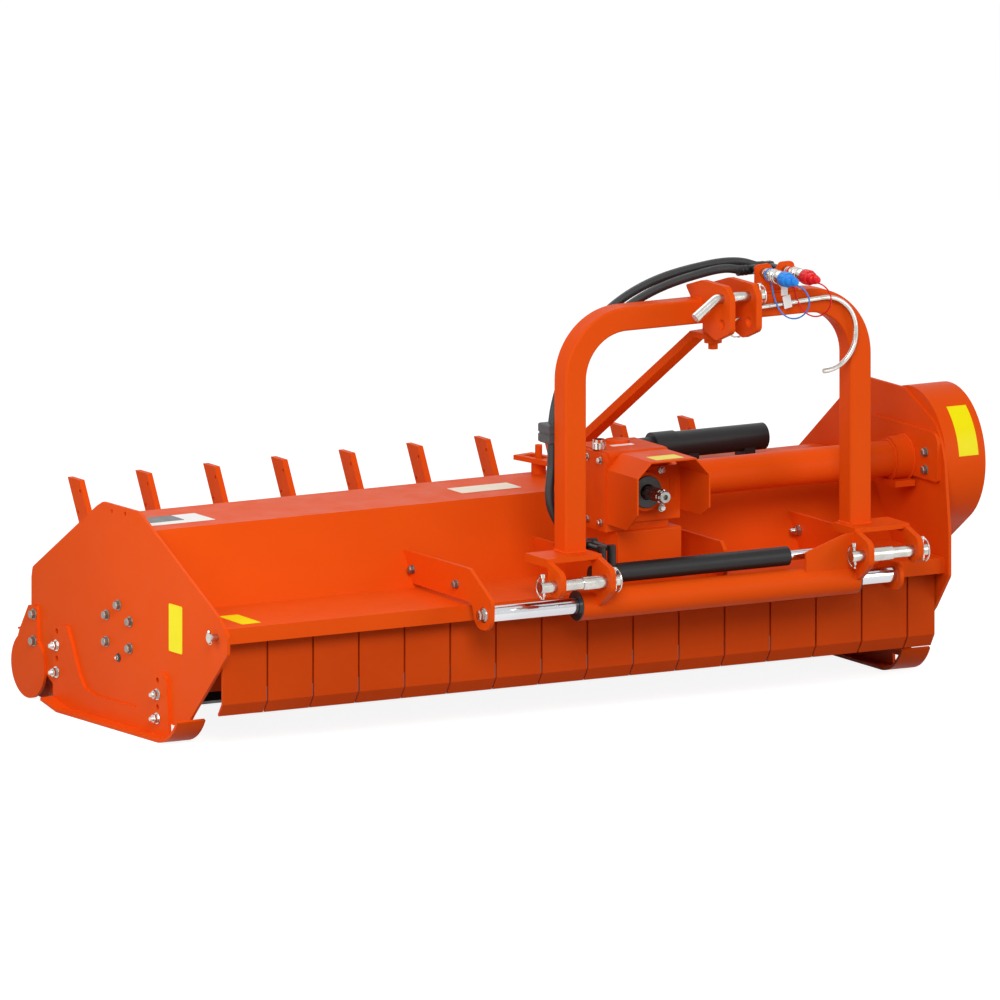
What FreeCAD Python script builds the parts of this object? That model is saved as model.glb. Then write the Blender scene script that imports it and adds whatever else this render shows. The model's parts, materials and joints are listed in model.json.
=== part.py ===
"""Side-shift pasture topper: deck, rotor, roller, rake, flap curtain and sliding headstock.

Built in millimetres with X along the cutting width, -Y towards the tractor and Z up.
"""
import FreeCAD, Part
import math
import os

# Driving dimensions
DECK_WIDTH = 2035.0
PLATE_T = 8.0
SHEET_T = 6.0
ROTOR_YZ = (0.0, 233.0)
ROTOR_TUBE_R = 84.0
ROTOR_SWING_R = 212.0
ROTOR_JOURNAL_R = 22.5
ROLLER_YZ = (434.0, 84.15)
ROLLER_R = 84.15
ROLLER_JOURNAL_R = 18.0
BAR_YZ = (-610.0, 307.0)
BAR_R = 20.0
SLIDE_TUBE_R = 38.05
CYLINDER_YZ = (-590.0, 375.0)
CYLINDER_R = 24.0
CYLINDER_ROD_R = 12.5
LINK_PIN_YZ = (-680.0, 375.0)
LINK_PIN_R = 14.0
TOP_PIN_YZ = (-688.0, 1054.0)
TOP_PIN_R = 12.5
HEAD_X = 1365.0
HOOP_HALF_SPAN = 435.0
TUBE_SIDE = 60.0
LEG_FRONT_Y = -592.0
LEG_BOTTOM_Z = 436.0
BEAM_TOP_Z = 1037.0
BEND_OUTER_R = 175.0
DRIVE_YZ = (-350.0, 545.0)
DRIVE_TUBE_R = 44.45
COVER_DRIVE_R = 175.0
COVER_ROTOR_R = 114.0
COVER_WIDTH = 112.0
GEARBOX_FRONT_Y = -428.0
PTO_X = 1233.0
PTO_Z = 545.0
PTO_R = 17.45
GEARBOX_RIGHT_X = PTO_X + 112.0
COLLAR_R = 54.0
FLAP_ROD_YZ = (-487.0, 293.0)
FLAP_ROD_R = 8.0
FLAP_COUNT = 16
FLAP_PITCH = DECK_WIDTH / 15.654
HAMMER_COUNT = 18
HAMMER_PITCH = (DECK_WIDTH - 199.0) / (HAMMER_COUNT - 1)
TINE_COUNT = 10
RIB_T = 10.0
HOSE_R = 11.0
HOSE_FOOT_Z = 436.0
HOSE_YS = (-516.0, -490.0)
PORT_XS = (1033.0, 1061.0)
COUPLER_XS = (1504.0, 1566.0)
COUPLER_Z = BEAM_TOP_Z + 48.0

# Clearances
PIN_FIT = 0.05
SLIDE_FIT = 0.08
SIDE_GAP = 5.0

# Derived positions
LEFT_OUT = 0.0
LEFT_IN = PLATE_T
RIGHT_IN = PLATE_T + DECK_WIDTH
RIGHT_OUT = RIGHT_IN + PLATE_T
BEAM_BOTTOM_Z = BEAM_TOP_Z - TUBE_SIDE
LEG_BACK_Y = LEG_FRONT_Y + TUBE_SIDE
STAY_PIVOT = (HEAD_X, -564.0)
STAY_ANCHOR = (1235.0, 70.0)
STAY_TOP_Z = 946.0
STAY_LOW_Z = 545.0
SHELF_FRONT_YZ = (-530.0, 319.0)
SHELF_BACK_YZ = (-268.0, 323.5)
FACE_TOP_YZ = (-158.5, 508.7)
SLOPE_TOP_YZ = (98.0, 509.0)
SLOPE_END_YZ = (415.0, 308.0)
DECK_TOP_Z = 509.0
RIB_XS = (685.0, PTO_X - 183.0, PTO_X + 182.0, 1780.0)
GUIDE_LEFT_X = 685.0
GUIDE_RIGHT_X = 1850.0


def vec(x, y, z):
    return FreeCAD.Vector(x, y, z)


def box(x0, x1, y0, y1, z0, z1):
    return Part.makeBox(x1 - x0, y1 - y0, z1 - z0, vec(x0, y0, z0))


def cyl_x(x0, x1, yz, r):
    return Part.makeCylinder(r, x1 - x0, vec(x0, yz[0], yz[1]), vec(1, 0, 0))


def cyl_y(y0, y1, x, z, r):
    return Part.makeCylinder(r, y1 - y0, vec(x, y0, z), vec(0, 1, 0))


def cyl_z(z0, z1, x, y, r):
    return Part.makeCylinder(r, z1 - z0, vec(x, y, z0), vec(0, 0, 1))


def fuse(shapes):
    body = shapes[0].fuse(shapes[1:]) if len(shapes) > 1 else shapes[0]
    return body.removeSplitter()


def tangent_points(before, corner, after, r):
    """Ends and middle of the arc of radius r that rounds a corner."""
    c = vec(corner[0], corner[1], 0)
    u = (vec(before[0], before[1], 0) - c).normalize()
    w = (vec(after[0], after[1], 0) - c).normalize()
    half = u.getAngle(w) / 2.0
    run = r / math.tan(half)
    middle = c + (u + w).normalize() * (r / math.sin(half) - r)
    return c + u * run, middle, c + w * run


def outline_edges(points, place, closed=True):
    """Edges through points; a point (a, b, r) is rounded by r."""
    edges = []
    start = None
    last = None
    count = len(points)
    for i, p in enumerate(points):
        inner = closed or 0 < i < count - 1
        if len(p) == 3 and inner:
            a, m, b = tangent_points(points[i - 1], p, points[(i + 1) % count], p[2])
        else:
            a = m = b = vec(p[0], p[1], 0)
        if last is not None and (a - last).Length > 1e-6:
            edges.append(Part.makeLine(place(last), place(a)))
        if (b - a).Length > 1e-6:
            edges.append(Part.Arc(place(a), place(m), place(b)).toShape())
        start = a if start is None else start
        last = b
    if closed and (start - last).Length > 1e-6:
        edges.append(Part.makeLine(place(last), place(start)))
    return edges


def prism_x(points, x0, x1):
    """Plate whose outline lies in YZ, from x0 to x1."""
    wire = Part.Wire(outline_edges(points, lambda p: vec(x0, p.x, p.y)))
    return Part.Face(wire).extrude(vec(x1 - x0, 0, 0))


def prism_y(points, y0, y1):
    """Plate whose outline lies in XZ, from y0 to y1."""
    wire = Part.Wire(outline_edges(points, lambda p: vec(p.x, y0, p.y)))
    return Part.Face(wire).extrude(vec(0, y1 - y0, 0))


def prism_z(points, z0, z1):
    """Plate whose outline lies in XY, from z0 to z1."""
    wire = Part.Wire(outline_edges(points, lambda p: vec(p.x, p.y, z0)))
    return Part.Face(wire).extrude(vec(0, 0, z1 - z0))


def offset_line(points, t):
    """Open polyline moved sideways by t, to the left of its direction."""
    moved = []
    for i, p in enumerate(points):
        here = vec(p[0], p[1], 0)
        normals = []
        if i > 0:
            d = (here - vec(points[i - 1][0], points[i - 1][1], 0)).normalize()
            normals.append(vec(-d.y, d.x, 0))
        if i < len(points) - 1:
            d = (vec(points[i + 1][0], points[i + 1][1], 0) - here).normalize()
            normals.append(vec(-d.y, d.x, 0))
        n = normals[0] if len(normals) == 1 else (normals[0] + normals[1]).normalize()
        scale = t / n.dot(normals[0])
        moved.append((p[0] + n.x * scale, p[1] + n.y * scale))
    return moved


def bent_sheet(points, t, x0, x1):
    """Folded sheet: a polyline thickened by t to its left, extruded along X."""
    return prism_x(list(points) + offset_line(points, t)[::-1], x0, x1)


def hex_prism(centre, axis, across, length):
    """Hexagon prism from centre along axis."""
    corners = []
    r = across / math.sqrt(3.0)
    for i in range(6):
        a = math.radians(60.0 * i)
        corners.append(vec(r * math.cos(a), r * math.sin(a), 0))
    corners.append(corners[0])
    solid = Part.Face(Part.makePolygon(corners)).extrude(vec(0, 0, length))
    solid.Placement = FreeCAD.Placement(vec(*centre), FreeCAD.Rotation(vec(0, 0, 1), vec(*axis)))
    return solid


def bolt(centre, axis, across=24.0, washer_r=15.0):
    """Washer and hexagon head standing on a face."""
    c = vec(*centre)
    a = vec(*axis)
    washer = Part.makeCylinder(washer_r, 3.0, c, a)
    top = c + a * 3.0
    return washer.fuse(hex_prism((top.x, top.y, top.z), axis, across, 9.0))


def ring_points(yz, r, count, start_deg):
    """Points spaced evenly round a circle in YZ."""
    points = []
    for i in range(count):
        a = math.radians(start_deg + 360.0 * i / count)
        points.append((yz[0] + r * math.cos(a), yz[1] + r * math.sin(a)))
    return points


def path_tube(points, r, bend_r):
    """Round tube along straight runs joined by tangent arcs."""
    edges = []
    last = vec(*points[0])
    for i in range(1, len(points) - 1):
        c = vec(*points[i])
        u = (vec(*points[i - 1]) - c).normalize()
        w = (vec(*points[i + 1]) - c).normalize()
        half = u.getAngle(w) / 2.0
        run = bend_r / math.tan(half)
        a = c + u * run
        b = c + w * run
        m = c + (u + w).normalize() * (bend_r / math.sin(half) - bend_r)
        if (a - last).Length > 1e-6:
            edges.append(Part.makeLine(last, a))
        edges.append(Part.Arc(a, m, b).toShape())
        last = b
    edges.append(Part.makeLine(last, vec(*points[-1])))
    path = Part.Wire(edges)
    start = vec(*points[0])
    direction = vec(*points[1]) - start
    section = Part.Wire([Part.makeCircle(r, start, direction)])
    return path.makePipeShell([section], True, False)


# Deck

REAR_EDGE = [(430.0, 120.0), (430.0, 237.0), (430.0, 305.0, 20.0), (424.0, 331.0, 10.0)]
LOW_EDGE = [(-365.0, 80.0), (-330.0, 40.0, 20.0), (300.0, 40.0, 20.0), (340.0, 62.0, 20.0)]


def plate_holes(x0, x1):
    """Holes both side plates share: blind bore for the rotor journal and the flap rod's hole."""
    journal = cyl_x(LEFT_OUT + 3, RIGHT_OUT - 3, ROTOR_YZ, ROTOR_JOURNAL_R + PIN_FIT)
    return [journal, cyl_x(x0 - 1, x1 + 1, FLAP_ROD_YZ, FLAP_ROD_R)]


def left_side_plate():
    top = [(107.0, 532.0, 15.0), (78.0, 546.0, 15.0), (-97.0, 547.6, 20.0), (-492.0, 342.0, 15.0)]
    front = [(-536.0, 302.0, 12.0), (-536.0, 255.0, 12.0)]
    plate = prism_x(REAR_EDGE + top + front + LOW_EDGE, LEFT_OUT, LEFT_IN)
    hub = cyl_x(LEFT_IN, LEFT_IN + 28, ROTOR_YZ, 62)
    body = plate.fuse(hub)
    holes = plate_holes(LEFT_OUT, LEFT_IN + 28)
    for yz in ((34.0, 529.0), (-32.0, 532.0)):
        holes.append(cyl_x(LEFT_OUT - 1, LEFT_IN + 1, yz, 5))
    return body.cut(holes)


def left_plate_bolts():
    """Bearing bolts on the plate, the bearing's end cap and the flap rod's outer end."""
    parts = []
    for i, p in enumerate(ring_points(ROTOR_YZ, 66.5, 6, 90.0)):
        if i != 3:
            parts.append(bolt((LEFT_OUT, p[0], p[1]), (-1, 0, 0), 19.0, 11.0))
    parts.append(cyl_x(LEFT_OUT - 9, LEFT_OUT, (0.0, 168.0), 5.0))
    for z in (216.0, 149.0):
        parts.append(bolt((LEFT_OUT - PLATE_T, 403.0, z), (-1, 0, 0), 19.0, 11.0))
    return parts


def right_side_plate():
    rise = [(424.0, 331.0, 10.0), (192.0, 488.0), (-110.0, 712.0, 30.0), (-330.0, 714.0, 90.0)]
    front = [(-500.0, 640.0, 110.0), (-529.0, 558.0), (-550.0, 384.0, 20.0), (-550.0, 275.0, 12.0)]
    low = [(-480.0, 187.0)] + LOW_EDGE
    points = REAR_EDGE[:3] + rise + front + low
    plate = prism_x(points, RIGHT_IN, RIGHT_OUT)
    hub = cyl_x(RIGHT_IN - 28, RIGHT_IN, ROTOR_YZ, 62)
    return plate.fuse(hub).cut(plate_holes(RIGHT_IN - 28, RIGHT_OUT))


def bearing_plate():
    """Bolted plate on the right side plate's inner face, round the drive tube's collar."""
    outline = [(-512.0, 504.0, 8.0), (-190.0, 504.0, 8.0), (-190.0, 626.0, 8.0), (-512.0, 626.0, 30.0)]
    plate = prism_x(outline, RIGHT_IN - 10, RIGHT_IN)
    heads = []
    for y in (-455.0, -245.0):
        for z in (528.0, 572.0):
            heads.append(bolt((RIGHT_IN - 10, y, z), (-1, 0, 0), 17.0, 10.0))
    return plate, heads


def deck_shell():
    line = [(-530.0, 280.0), SHELF_FRONT_YZ, SHELF_BACK_YZ, FACE_TOP_YZ, SLOPE_TOP_YZ, SLOPE_END_YZ]
    return bent_sheet(line, -SHEET_T, LEFT_IN, RIGHT_IN)


def rear_hood():
    line = [(416.0, 308.0), (424.0, 237.0), (470.0, 170.0), (510.0, 161.0)]
    return bent_sheet(line, 5.0, LEFT_IN, RIGHT_IN)


def front_deflector():
    return prism_x([(-256.0, 111.0), (-250.0, 111.0), (-250.0, 317.5), (-256.0, 317.5)], LEFT_IN, RIGHT_IN)


def rib(x):
    outline = [(-217.0, 411.0), (-513.0, 412.0), (-530.0, 393.0), SHELF_FRONT_YZ, SHELF_BACK_YZ]
    return prism_x(outline, x, x + RIB_T)


def left_guide_arm():
    """Left rib grown into the arm that holds the guide bar."""
    outline = [(-262.0, 333.5), (-217.0, 411.0), (-540.0, 412.0, 12.0), (-650.0, 345.0, 20.0)]
    outline += [(-648.0, 269.0, 36.0), (-572.0, 269.0, 36.0), (-553.0, 329.0, 20.0)]
    arm = prism_x(outline, GUIDE_LEFT_X, GUIDE_LEFT_X + RIB_T)
    return arm.cut(cyl_x(GUIDE_LEFT_X - 1, GUIDE_LEFT_X + RIB_T + 1, BAR_YZ, BAR_R))


def right_guide_arm():
    """Low lug round the bar's right end, carried back under the clevis to the shelf."""
    outline = [(-530.0, 281.0), (-530.0, 319.0), (-560.0, 338.0, 6.0), (-648.0, 338.0, 34.0)]
    outline += [(-648.0, 269.0, 34.0), (-572.0, 269.0, 30.0)]
    lug = prism_x(outline, GUIDE_RIGHT_X, GUIDE_RIGHT_X + RIB_T)
    return lug.cut(cyl_x(GUIDE_RIGHT_X - 1, GUIDE_RIGHT_X + RIB_T + 1, BAR_YZ, BAR_R))


def rod_lug():
    """Fourth rib's forward ear, where the shift cylinder's rod is pinned."""
    y, z = CYLINDER_YZ
    outline = [(-530.0, 393.0), (-530.0, 352.0), (y, z - 21.0, 10.0), (y - 21.0, z - 21.0, 20.0)]
    outline += [(y - 21.0, z + 21.0, 20.0), (y, z + 21.0, 5.0)]
    return prism_x(outline, RIB_XS[3], RIB_XS[3] + RIB_T)


def deck_ribs():
    ribs = [rib(x) for x in RIB_XS[1:]]
    ribs.append(rod_lug())
    return fuse(ribs[2:]), ribs[:2]


def guide_bolts():
    """Bolt heads on the guide arm and the bar's end bolts."""
    x = GUIDE_LEFT_X
    heads = []
    for yz in ((-262.0, 368.0), (-478.0, 364.0)):
        heads.append(bolt((x, yz[0], yz[1]), (-1, 0, 0), 17.0, 10.0))
    heads.append(bolt((x, BAR_YZ[0], BAR_YZ[1]), (-1, 0, 0), 24.0, 18.0))
    heads.append(bolt((GUIDE_RIGHT_X + RIB_T, BAR_YZ[0], BAR_YZ[1]), (1, 0, 0), 24.0, 16.0))
    for rib_x in (RIB_XS[1], RIB_XS[3]):
        heads.append(bolt((rib_x, -268.0, 370.0), (-1, 0, 0), 17.0, 10.0))
    return heads


def guide_bar():
    return cyl_x(GUIDE_LEFT_X, GUIDE_RIGHT_X + RIB_T, BAR_YZ, BAR_R)


def flap_rod():
    rod = cyl_x(LEFT_OUT - 20, RIGHT_OUT + 20, FLAP_ROD_YZ, FLAP_ROD_R)
    head = cyl_x(LEFT_OUT - 26, LEFT_OUT - 20, FLAP_ROD_YZ, 12)
    return rod.fuse(head)


def skid(x_out, x_in, sole_x0, sole_x1):
    """Runner bolted to a side plate: web with two arms and a turned-up sole."""
    web = [(245.0, 212.0, 12.0), (223.0, 174.0, 20.0), (182.0, 97.0, 20.0), (157.0, 69.0, 20.0)]
    web += [(107.0, 57.0), (-107.0, 60.0, 40.0), (-195.0, 161.0, 20.0), (-226.0, 164.0, 10.0)]
    web += [(-248.0, 156.0, 8.0), (-262.0, 8.0), (230.0, 8.0), (310.0, 26.0), (310.0, 200.0, 20.0)]
    plate = prism_x(web, x_out, x_in)
    sole = prism_x([(-262.0, 0.0), (230.0, 0.0), (230.0, 8.0), (-262.0, 8.0)], sole_x0, sole_x1)
    tail = prism_x([(230.0, 0.0), (309.0, 17.5), (307.5, 25.5), (230.0, 8.0)], sole_x0, sole_x1)
    bend = (-262.0, 120.0)
    ring = cyl_x(sole_x0, sole_x1, bend, 120.0).cut(cyl_x(sole_x0, sole_x1, bend, 112.0))
    wedge = prism_x([bend, (-262.0, -10.0), (-500.0, -10.0), (-500.0, -6.5)], sole_x0, sole_x1)
    body = fuse([plate, sole, tail, ring.common(wedge)])
    return body


def skid_holes(x0, x1):
    holes = []
    for yz in ((291.0, 190.0), (291.0, 122.0), (-205.0, 143.0), (-205.0, 76.0)):
        holes.append(cyl_x(x0 - 1, x1 + 1, yz, 7.0))
    return holes


def skid_bolts(x, direction):
    heads = []
    for yz in ((291.0, 155.0), (291.0, 88.0), (-205.0, 108.0), (-205.0, 48.0)):
        heads.append(bolt((x, yz[0], yz[1]), (direction, 0, 0), 19.0, 12.0))
    return heads


def roller_bracket(x0, x1, boss_x0, boss_x1):
    y, z = ROLLER_YZ
    points = [(431.0, 235.0, 6.0), (389.0, 238.0, 10.0), (386.0, 125.0, 15.0), (y - 68.0, z + 28.0, 8.0)]
    points += [(y + 68.0, z + 28.0, 8.0), (474.0, 169.0)]
    plate = fuse([prism_x(points, x0, x1), cyl_x(x0, x1, ROLLER_YZ, 82.0)])
    boss = cyl_x(boss_x0, boss_x1, ROLLER_YZ, 30.0)
    return plate.fuse(boss)


def rake():
    """Tines leaning on the rear slope, tied by two cross bars."""
    tines = []
    for i in range(TINE_COUNT):
        x = 148.0 + (DECK_WIDTH - 302.5) / (TINE_COUNT - 1) * i
        top = 532.0
        low = 60.0
        lean = 0.5275
        rear_top = 494.6
        rear_low = rear_top - lean * (top - low)
        outline = [(rear_top, top), (rear_top - 57.0, top), (rear_low - 57.0, low), (rear_low, low)]
        tine = prism_x(outline, x - 7.5, x + 7.5)
        holes = [cyl_x(x - 8, x + 8, (434.0, 506.0), 4.5), cyl_x(x - 8, x + 8, (444.0, 452.0), 4.5)]
        tines.append(tine.cut(holes))
    line = [(330.0, slope_z(330.0)), (390.0, slope_z(390.0))]
    tines.append(bent_sheet(line, 12.0, LEFT_IN + 52.0, RIGHT_IN - 75.0))
    return fuse(tines)


def slope_z(y):
    """Z of the deck's rear slope at depth y."""
    part = (y - SLOPE_TOP_YZ[0]) / (SLOPE_END_YZ[0] - SLOPE_TOP_YZ[0])
    return SLOPE_TOP_YZ[1] + part * (SLOPE_END_YZ[1] - SLOPE_TOP_YZ[1])


# Drive line

def gearbox():
    """Cast case with a bolted left cover, a flange towards the drive tube and the shaft's snout."""
    front = GEARBOX_FRONT_Y
    left = PTO_X - 95.0
    line = [(front, 446.0), (front, 643.0, 12.0), (-250.0, 643.0, 12.0), (-250.0, 446.0)]
    case = prism_x(line, left + 12, GEARBOX_RIGHT_X - 29)
    line = [(front, 446.0), (front, 640.0, 25.0), (-252.0, 640.0, 25.0), (-252.0, 446.0)]
    cover = prism_x(line, left, left + 12)
    flange = cyl_x(GEARBOX_RIGHT_X - 29, GEARBOX_RIGHT_X - 17, DRIVE_YZ, 88.0)
    neck = cyl_x(GEARBOX_RIGHT_X - 17, GEARBOX_RIGHT_X, DRIVE_YZ, 70.0)
    snout = cyl_y(-465, front, PTO_X, PTO_Z, 48.0)
    cap = cyl_z(643, 668, left + 19, -363, 14.0)
    boss = cyl_z(640, 650, PTO_X + 12, -300, 30.0)
    body = fuse([case, cover, flange, neck, snout, cap, boss])
    return body.cut(cyl_y(-466, -330, PTO_X, PTO_Z, PTO_R + PIN_FIT))


def face_y(z):
    """Y of the deck's front face at height z."""
    part = (z - SHELF_BACK_YZ[1]) / (FACE_TOP_YZ[1] - SHELF_BACK_YZ[1])
    return SHELF_BACK_YZ[0] + part * (FACE_TOP_YZ[0] - SHELF_BACK_YZ[0])


def shelf_z(y):
    """Z of the deck's shelf at depth y."""
    part = (y - SHELF_FRONT_YZ[0]) / (SHELF_BACK_YZ[0] - SHELF_FRONT_YZ[0])
    return SHELF_FRONT_YZ[1] + part * (SHELF_BACK_YZ[1] - SHELF_FRONT_YZ[1])


def gearbox_pedestal():
    front = GEARBOX_FRONT_Y - 14.0
    outline = [(front, shelf_z(front)), (front, 446.0, 6.0), (face_y(446.0), 446.0), SHELF_BACK_YZ]
    return prism_x(outline, PTO_X - 68.0, GEARBOX_RIGHT_X)


def pto_shaft():
    shaft = cyl_y(-559, -335, PTO_X, PTO_Z, PTO_R)
    groove = cyl_y(-541, -534, PTO_X, PTO_Z, 30.0).cut(cyl_y(-542, -533, PTO_X, PTO_Z, PTO_R - 2.5))
    return shaft.cut(groove)


def pto_shield():
    """Folded guard over the stub shaft, open below and in front, longer on its left side."""
    x0 = PTO_X - 91.0
    x1 = PTO_X + 117.0
    outer = [(x0, 466.0), (x0, 602.0), (x0 + 40, 640.0), (x1 - 40, 640.0), (x1, 596.0), (x1, 488.0)]
    inner = [(x0 + 4, 466.0), (x0 + 4, 600.3), (x0 + 41.6, 636.0)]
    inner += [(x1 - 41.8, 636.0), (x1 - 4, 594.5), (x1 - 4, 488.0)]
    shell = prism_y(outer + inner[::-1], -577, GEARBOX_FRONT_Y)
    left = prism_x([(-578.0, 465.0), (-525.0, 465.0), (-578.0, 511.0)], x0 - 1, x0 + 58)
    right = prism_x([(-578.0, 487.0), (-534.0, 487.0), (-578.0, 513.0)], x1 - 50, x1 + 1)
    back = box(x0 + 4, x1 - 4, GEARBOX_FRONT_Y - 6, GEARBOX_FRONT_Y, 466, 600)
    back = back.cut(cyl_y(GEARBOX_FRONT_Y - 7, GEARBOX_FRONT_Y + 1, PTO_X, PTO_Z, 48.0))
    return fuse([shell.cut([left, right]), back])


def drive_tube():
    """Tube over the cross shaft, its collar at the right plate and the rest under the collar."""
    end = RIGHT_IN - 10
    tube = cyl_x(GEARBOX_RIGHT_X, end - 48, DRIVE_YZ, DRIVE_TUBE_R)
    collar = cyl_x(end - 48, end, DRIVE_YZ, COLLAR_R)
    y, z = DRIVE_YZ
    rest = box(end - 55, end, y - 52, y + 52, z - COLLAR_R - 11, z - COLLAR_R + 4)
    return fuse([tube, collar, rest])


def belt_block(x0, x1, inset):
    """Two discs and the straight flanks between them, drawn in by inset."""
    y0, z0 = DRIVE_YZ
    y1, z1 = ROTOR_YZ
    r0 = COVER_DRIVE_R - inset
    r1 = COVER_ROTOR_R - inset
    discs = [cyl_x(x0, x1, DRIVE_YZ, r0), cyl_x(x0, x1, ROTOR_YZ, r1)]
    base = math.atan2(z1 - z0, y1 - y0)
    spread = math.acos((r0 - r1) / math.hypot(y1 - y0, z1 - z0))
    corners = []
    for yz, r, sign in ((DRIVE_YZ, r0, 1), (ROTOR_YZ, r1, 1), (ROTOR_YZ, r1, -1), (DRIVE_YZ, r0, -1)):
        a = base + sign * spread
        corners.append((yz[0] + r * math.cos(a), yz[1] + r * math.sin(a)))
    return fuse(discs + [prism_x(corners, x0, x1)])


def belt_cover():
    """Sheet box over the belts, closed by a back sheet on the side plate."""
    outer = belt_block(RIGHT_OUT, RIGHT_OUT + COVER_WIDTH, 0.0)
    inner = belt_block(RIGHT_OUT + 3.0, RIGHT_OUT + COVER_WIDTH - 3.0, 3.0)
    return outer.cut(inner)


# Turning parts

def rotor_tube():
    tube = cyl_x(LEFT_IN + 40, RIGHT_IN - 40, ROTOR_YZ, ROTOR_TUBE_R)
    tube = tube.cut(cyl_x(LEFT_IN + 60, RIGHT_IN - 60, ROTOR_YZ, ROTOR_TUBE_R - 10.0))
    journal = cyl_x(LEFT_OUT + 3.5, RIGHT_OUT - 3.5, ROTOR_YZ, ROTOR_JOURNAL_R)
    parts = [tube, journal]
    for x, angle in hammer_places():
        lug = box(x - 25, x + 25, -12, 12, ROTOR_TUBE_R - 6, ROTOR_TUBE_R + 26)
        lug.rotate(vec(0, 0, 0), vec(1, 0, 0), angle)
        lug.translate(vec(0, ROTOR_YZ[0], ROTOR_YZ[1]))
        parts.append(lug)
    return fuse(parts)


def hammer_places():
    """Position and angle of each hammer, stepped round the tube."""
    places = []
    for i in range(HAMMER_COUNT):
        places.append((80.0 + HAMMER_PITCH * i, (56.0 + i * 90.0 + (i // 2) * 30.0) % 360.0))
    return places


def hammers():
    blades = []
    for x, angle in hammer_places():
        blade = box(x - 50, x + 50, -9, 9, ROTOR_TUBE_R + 26, ROTOR_SWING_R)
        tip = box(x - 51, x + 51, -10, -2, ROTOR_TUBE_R + 60, ROTOR_SWING_R - 30)
        blade = blade.cut(tip)
        blade.rotate(vec(0, 0, 0), vec(1, 0, 0), angle)
        blade.translate(vec(0, ROTOR_YZ[0], ROTOR_YZ[1]))
        blades.append(blade)
    return blades


def rear_roller():
    tube = cyl_x(LEFT_IN + 22, RIGHT_IN - 22, ROLLER_YZ, ROLLER_R)
    tube = tube.cut(cyl_x(LEFT_IN + 34, RIGHT_IN - 34, ROLLER_YZ, ROLLER_R - 6.0))
    journal = cyl_x(LEFT_OUT - 2, RIGHT_OUT + 2, ROLLER_YZ, ROLLER_JOURNAL_R)
    return tube.fuse(journal)


def flap(x0, x1):
    """Flap with a rolled eye on the rod and a tail bent to the rear."""
    y, z = FLAP_ROD_YZ
    eye = cyl_x(x0, x1, FLAP_ROD_YZ, 13.0)
    plate = bent_sheet([(y - 3.0, z), (y - 3.0, 122.0), (y + 17.0, 91.0)], 6.0, x0, x1)
    return fuse([eye, plate]).cut(cyl_x(x0 - 1, x1 + 1, FLAP_ROD_YZ, FLAP_ROD_R + PIN_FIT))


def flaps():
    first = LEFT_IN + SIDE_GAP
    last = RIGHT_IN - SIDE_GAP
    pieces = []
    for i in range(FLAP_COUNT):
        x0 = first + FLAP_PITCH * i
        x1 = min(x0 + FLAP_PITCH - SIDE_GAP, last)
        pieces.append(flap(x0, x1))
    return pieces


# Headstock

def square_tube_path(points, bend_r, half, corner):
    """Square tube with rounded corners bent in the XZ plane."""
    edges = outline_edges([(p[0], p[1], bend_r) for p in points], lambda p: vec(p.x, 0, p.y), False)
    path = Part.Wire(edges)
    x, z = points[0]
    square = [(x - half, -half, corner), (x + half, -half, corner)]
    square += [(x + half, half, corner), (x - half, half, corner)]
    section = Part.Wire(outline_edges(square, lambda p: vec(p.x, p.y, z)))
    return path.makePipeShell([section], True, False)


def hoop_frame():
    half = TUBE_SIDE / 2.0
    left = HEAD_X - HOOP_HALF_SPAN + half
    right = HEAD_X + HOOP_HALF_SPAN - half
    top = BEAM_TOP_Z - half
    line = [(left, LEG_BOTTOM_Z), (left, top), (right, top), (right, LEG_BOTTOM_Z)]
    hoop = square_tube_path(line, BEND_OUTER_R - half, half, 6.0)
    hoop.translate(vec(0, LEG_FRONT_Y + half, 0))
    return hoop


def slide_tube():
    tube = cyl_x(951, 1740, BAR_YZ, SLIDE_TUBE_R)
    return tube.cut(cyl_x(950, 1741, BAR_YZ, BAR_R + SLIDE_FIT))


def outer_ear(x0, x1):
    """Ear that ends round the link pin."""
    y, z = LINK_PIN_YZ
    outline = [(-532.0, 436.0), (-620.0, 436.0, 20.0), (y - 30.0, z + 32.0, 25.0)]
    outline += [(y - 30.0, z - 30.0, 29.5), (y + 30.0, z - 30.0, 29.5)]
    outline += [(y + 36.0, 415.0, 10.0), (-532.0, 415.0)]
    return prism_x(outline, x0, x1)


def inner_ear(x0, x1):
    """Ear that goes on down to the slide tube."""
    y, z = LINK_PIN_YZ
    outline = [(-532.0, 436.0), (-620.0, 436.0, 20.0), (y - 30.0, z + 32.0, 25.0)]
    outline += [(y - 30.0, z - 22.0, 25.0), (-626.0, 292.0), (-617.0, 320.0)]
    outline += [(-617.0, 415.0, 10.0), (-532.0, 415.0)]
    return prism_x(outline, x0, x1).cut(cyl_x(x0 - 1, x1 + 1, BAR_YZ, SLIDE_TUBE_R))


def clevis(x0, x1, inner_left):
    """Top plate with two ears; the ear towards the middle reaches the tube."""
    top = box(x0, x1, -640, -532, 424, 436)
    ears = []
    if inner_left:
        ears = [inner_ear(x0, x0 + 15), outer_ear(x1 - 15, x1)]
    else:
        ears = [outer_ear(x0, x0 + 15), inner_ear(x1 - 15, x1)]
    return fuse([top] + ears)


def left_clevis():
    return clevis(849.0, 1005.0, False)


def right_clevis():
    line = [(1590.0, 330.0), (1590.0, 386.0, 4.0), (1698.0, 422.0, 4.0), (1725.0, 424.0), (1725.0, 330.0)]
    gusset = prism_y(line, -634.0, -626.0).cut(cyl_x(1580, 1740, BAR_YZ, SLIDE_TUBE_R))
    return fuse([clevis(1725.0, 1880.0, True), gusset])


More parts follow.
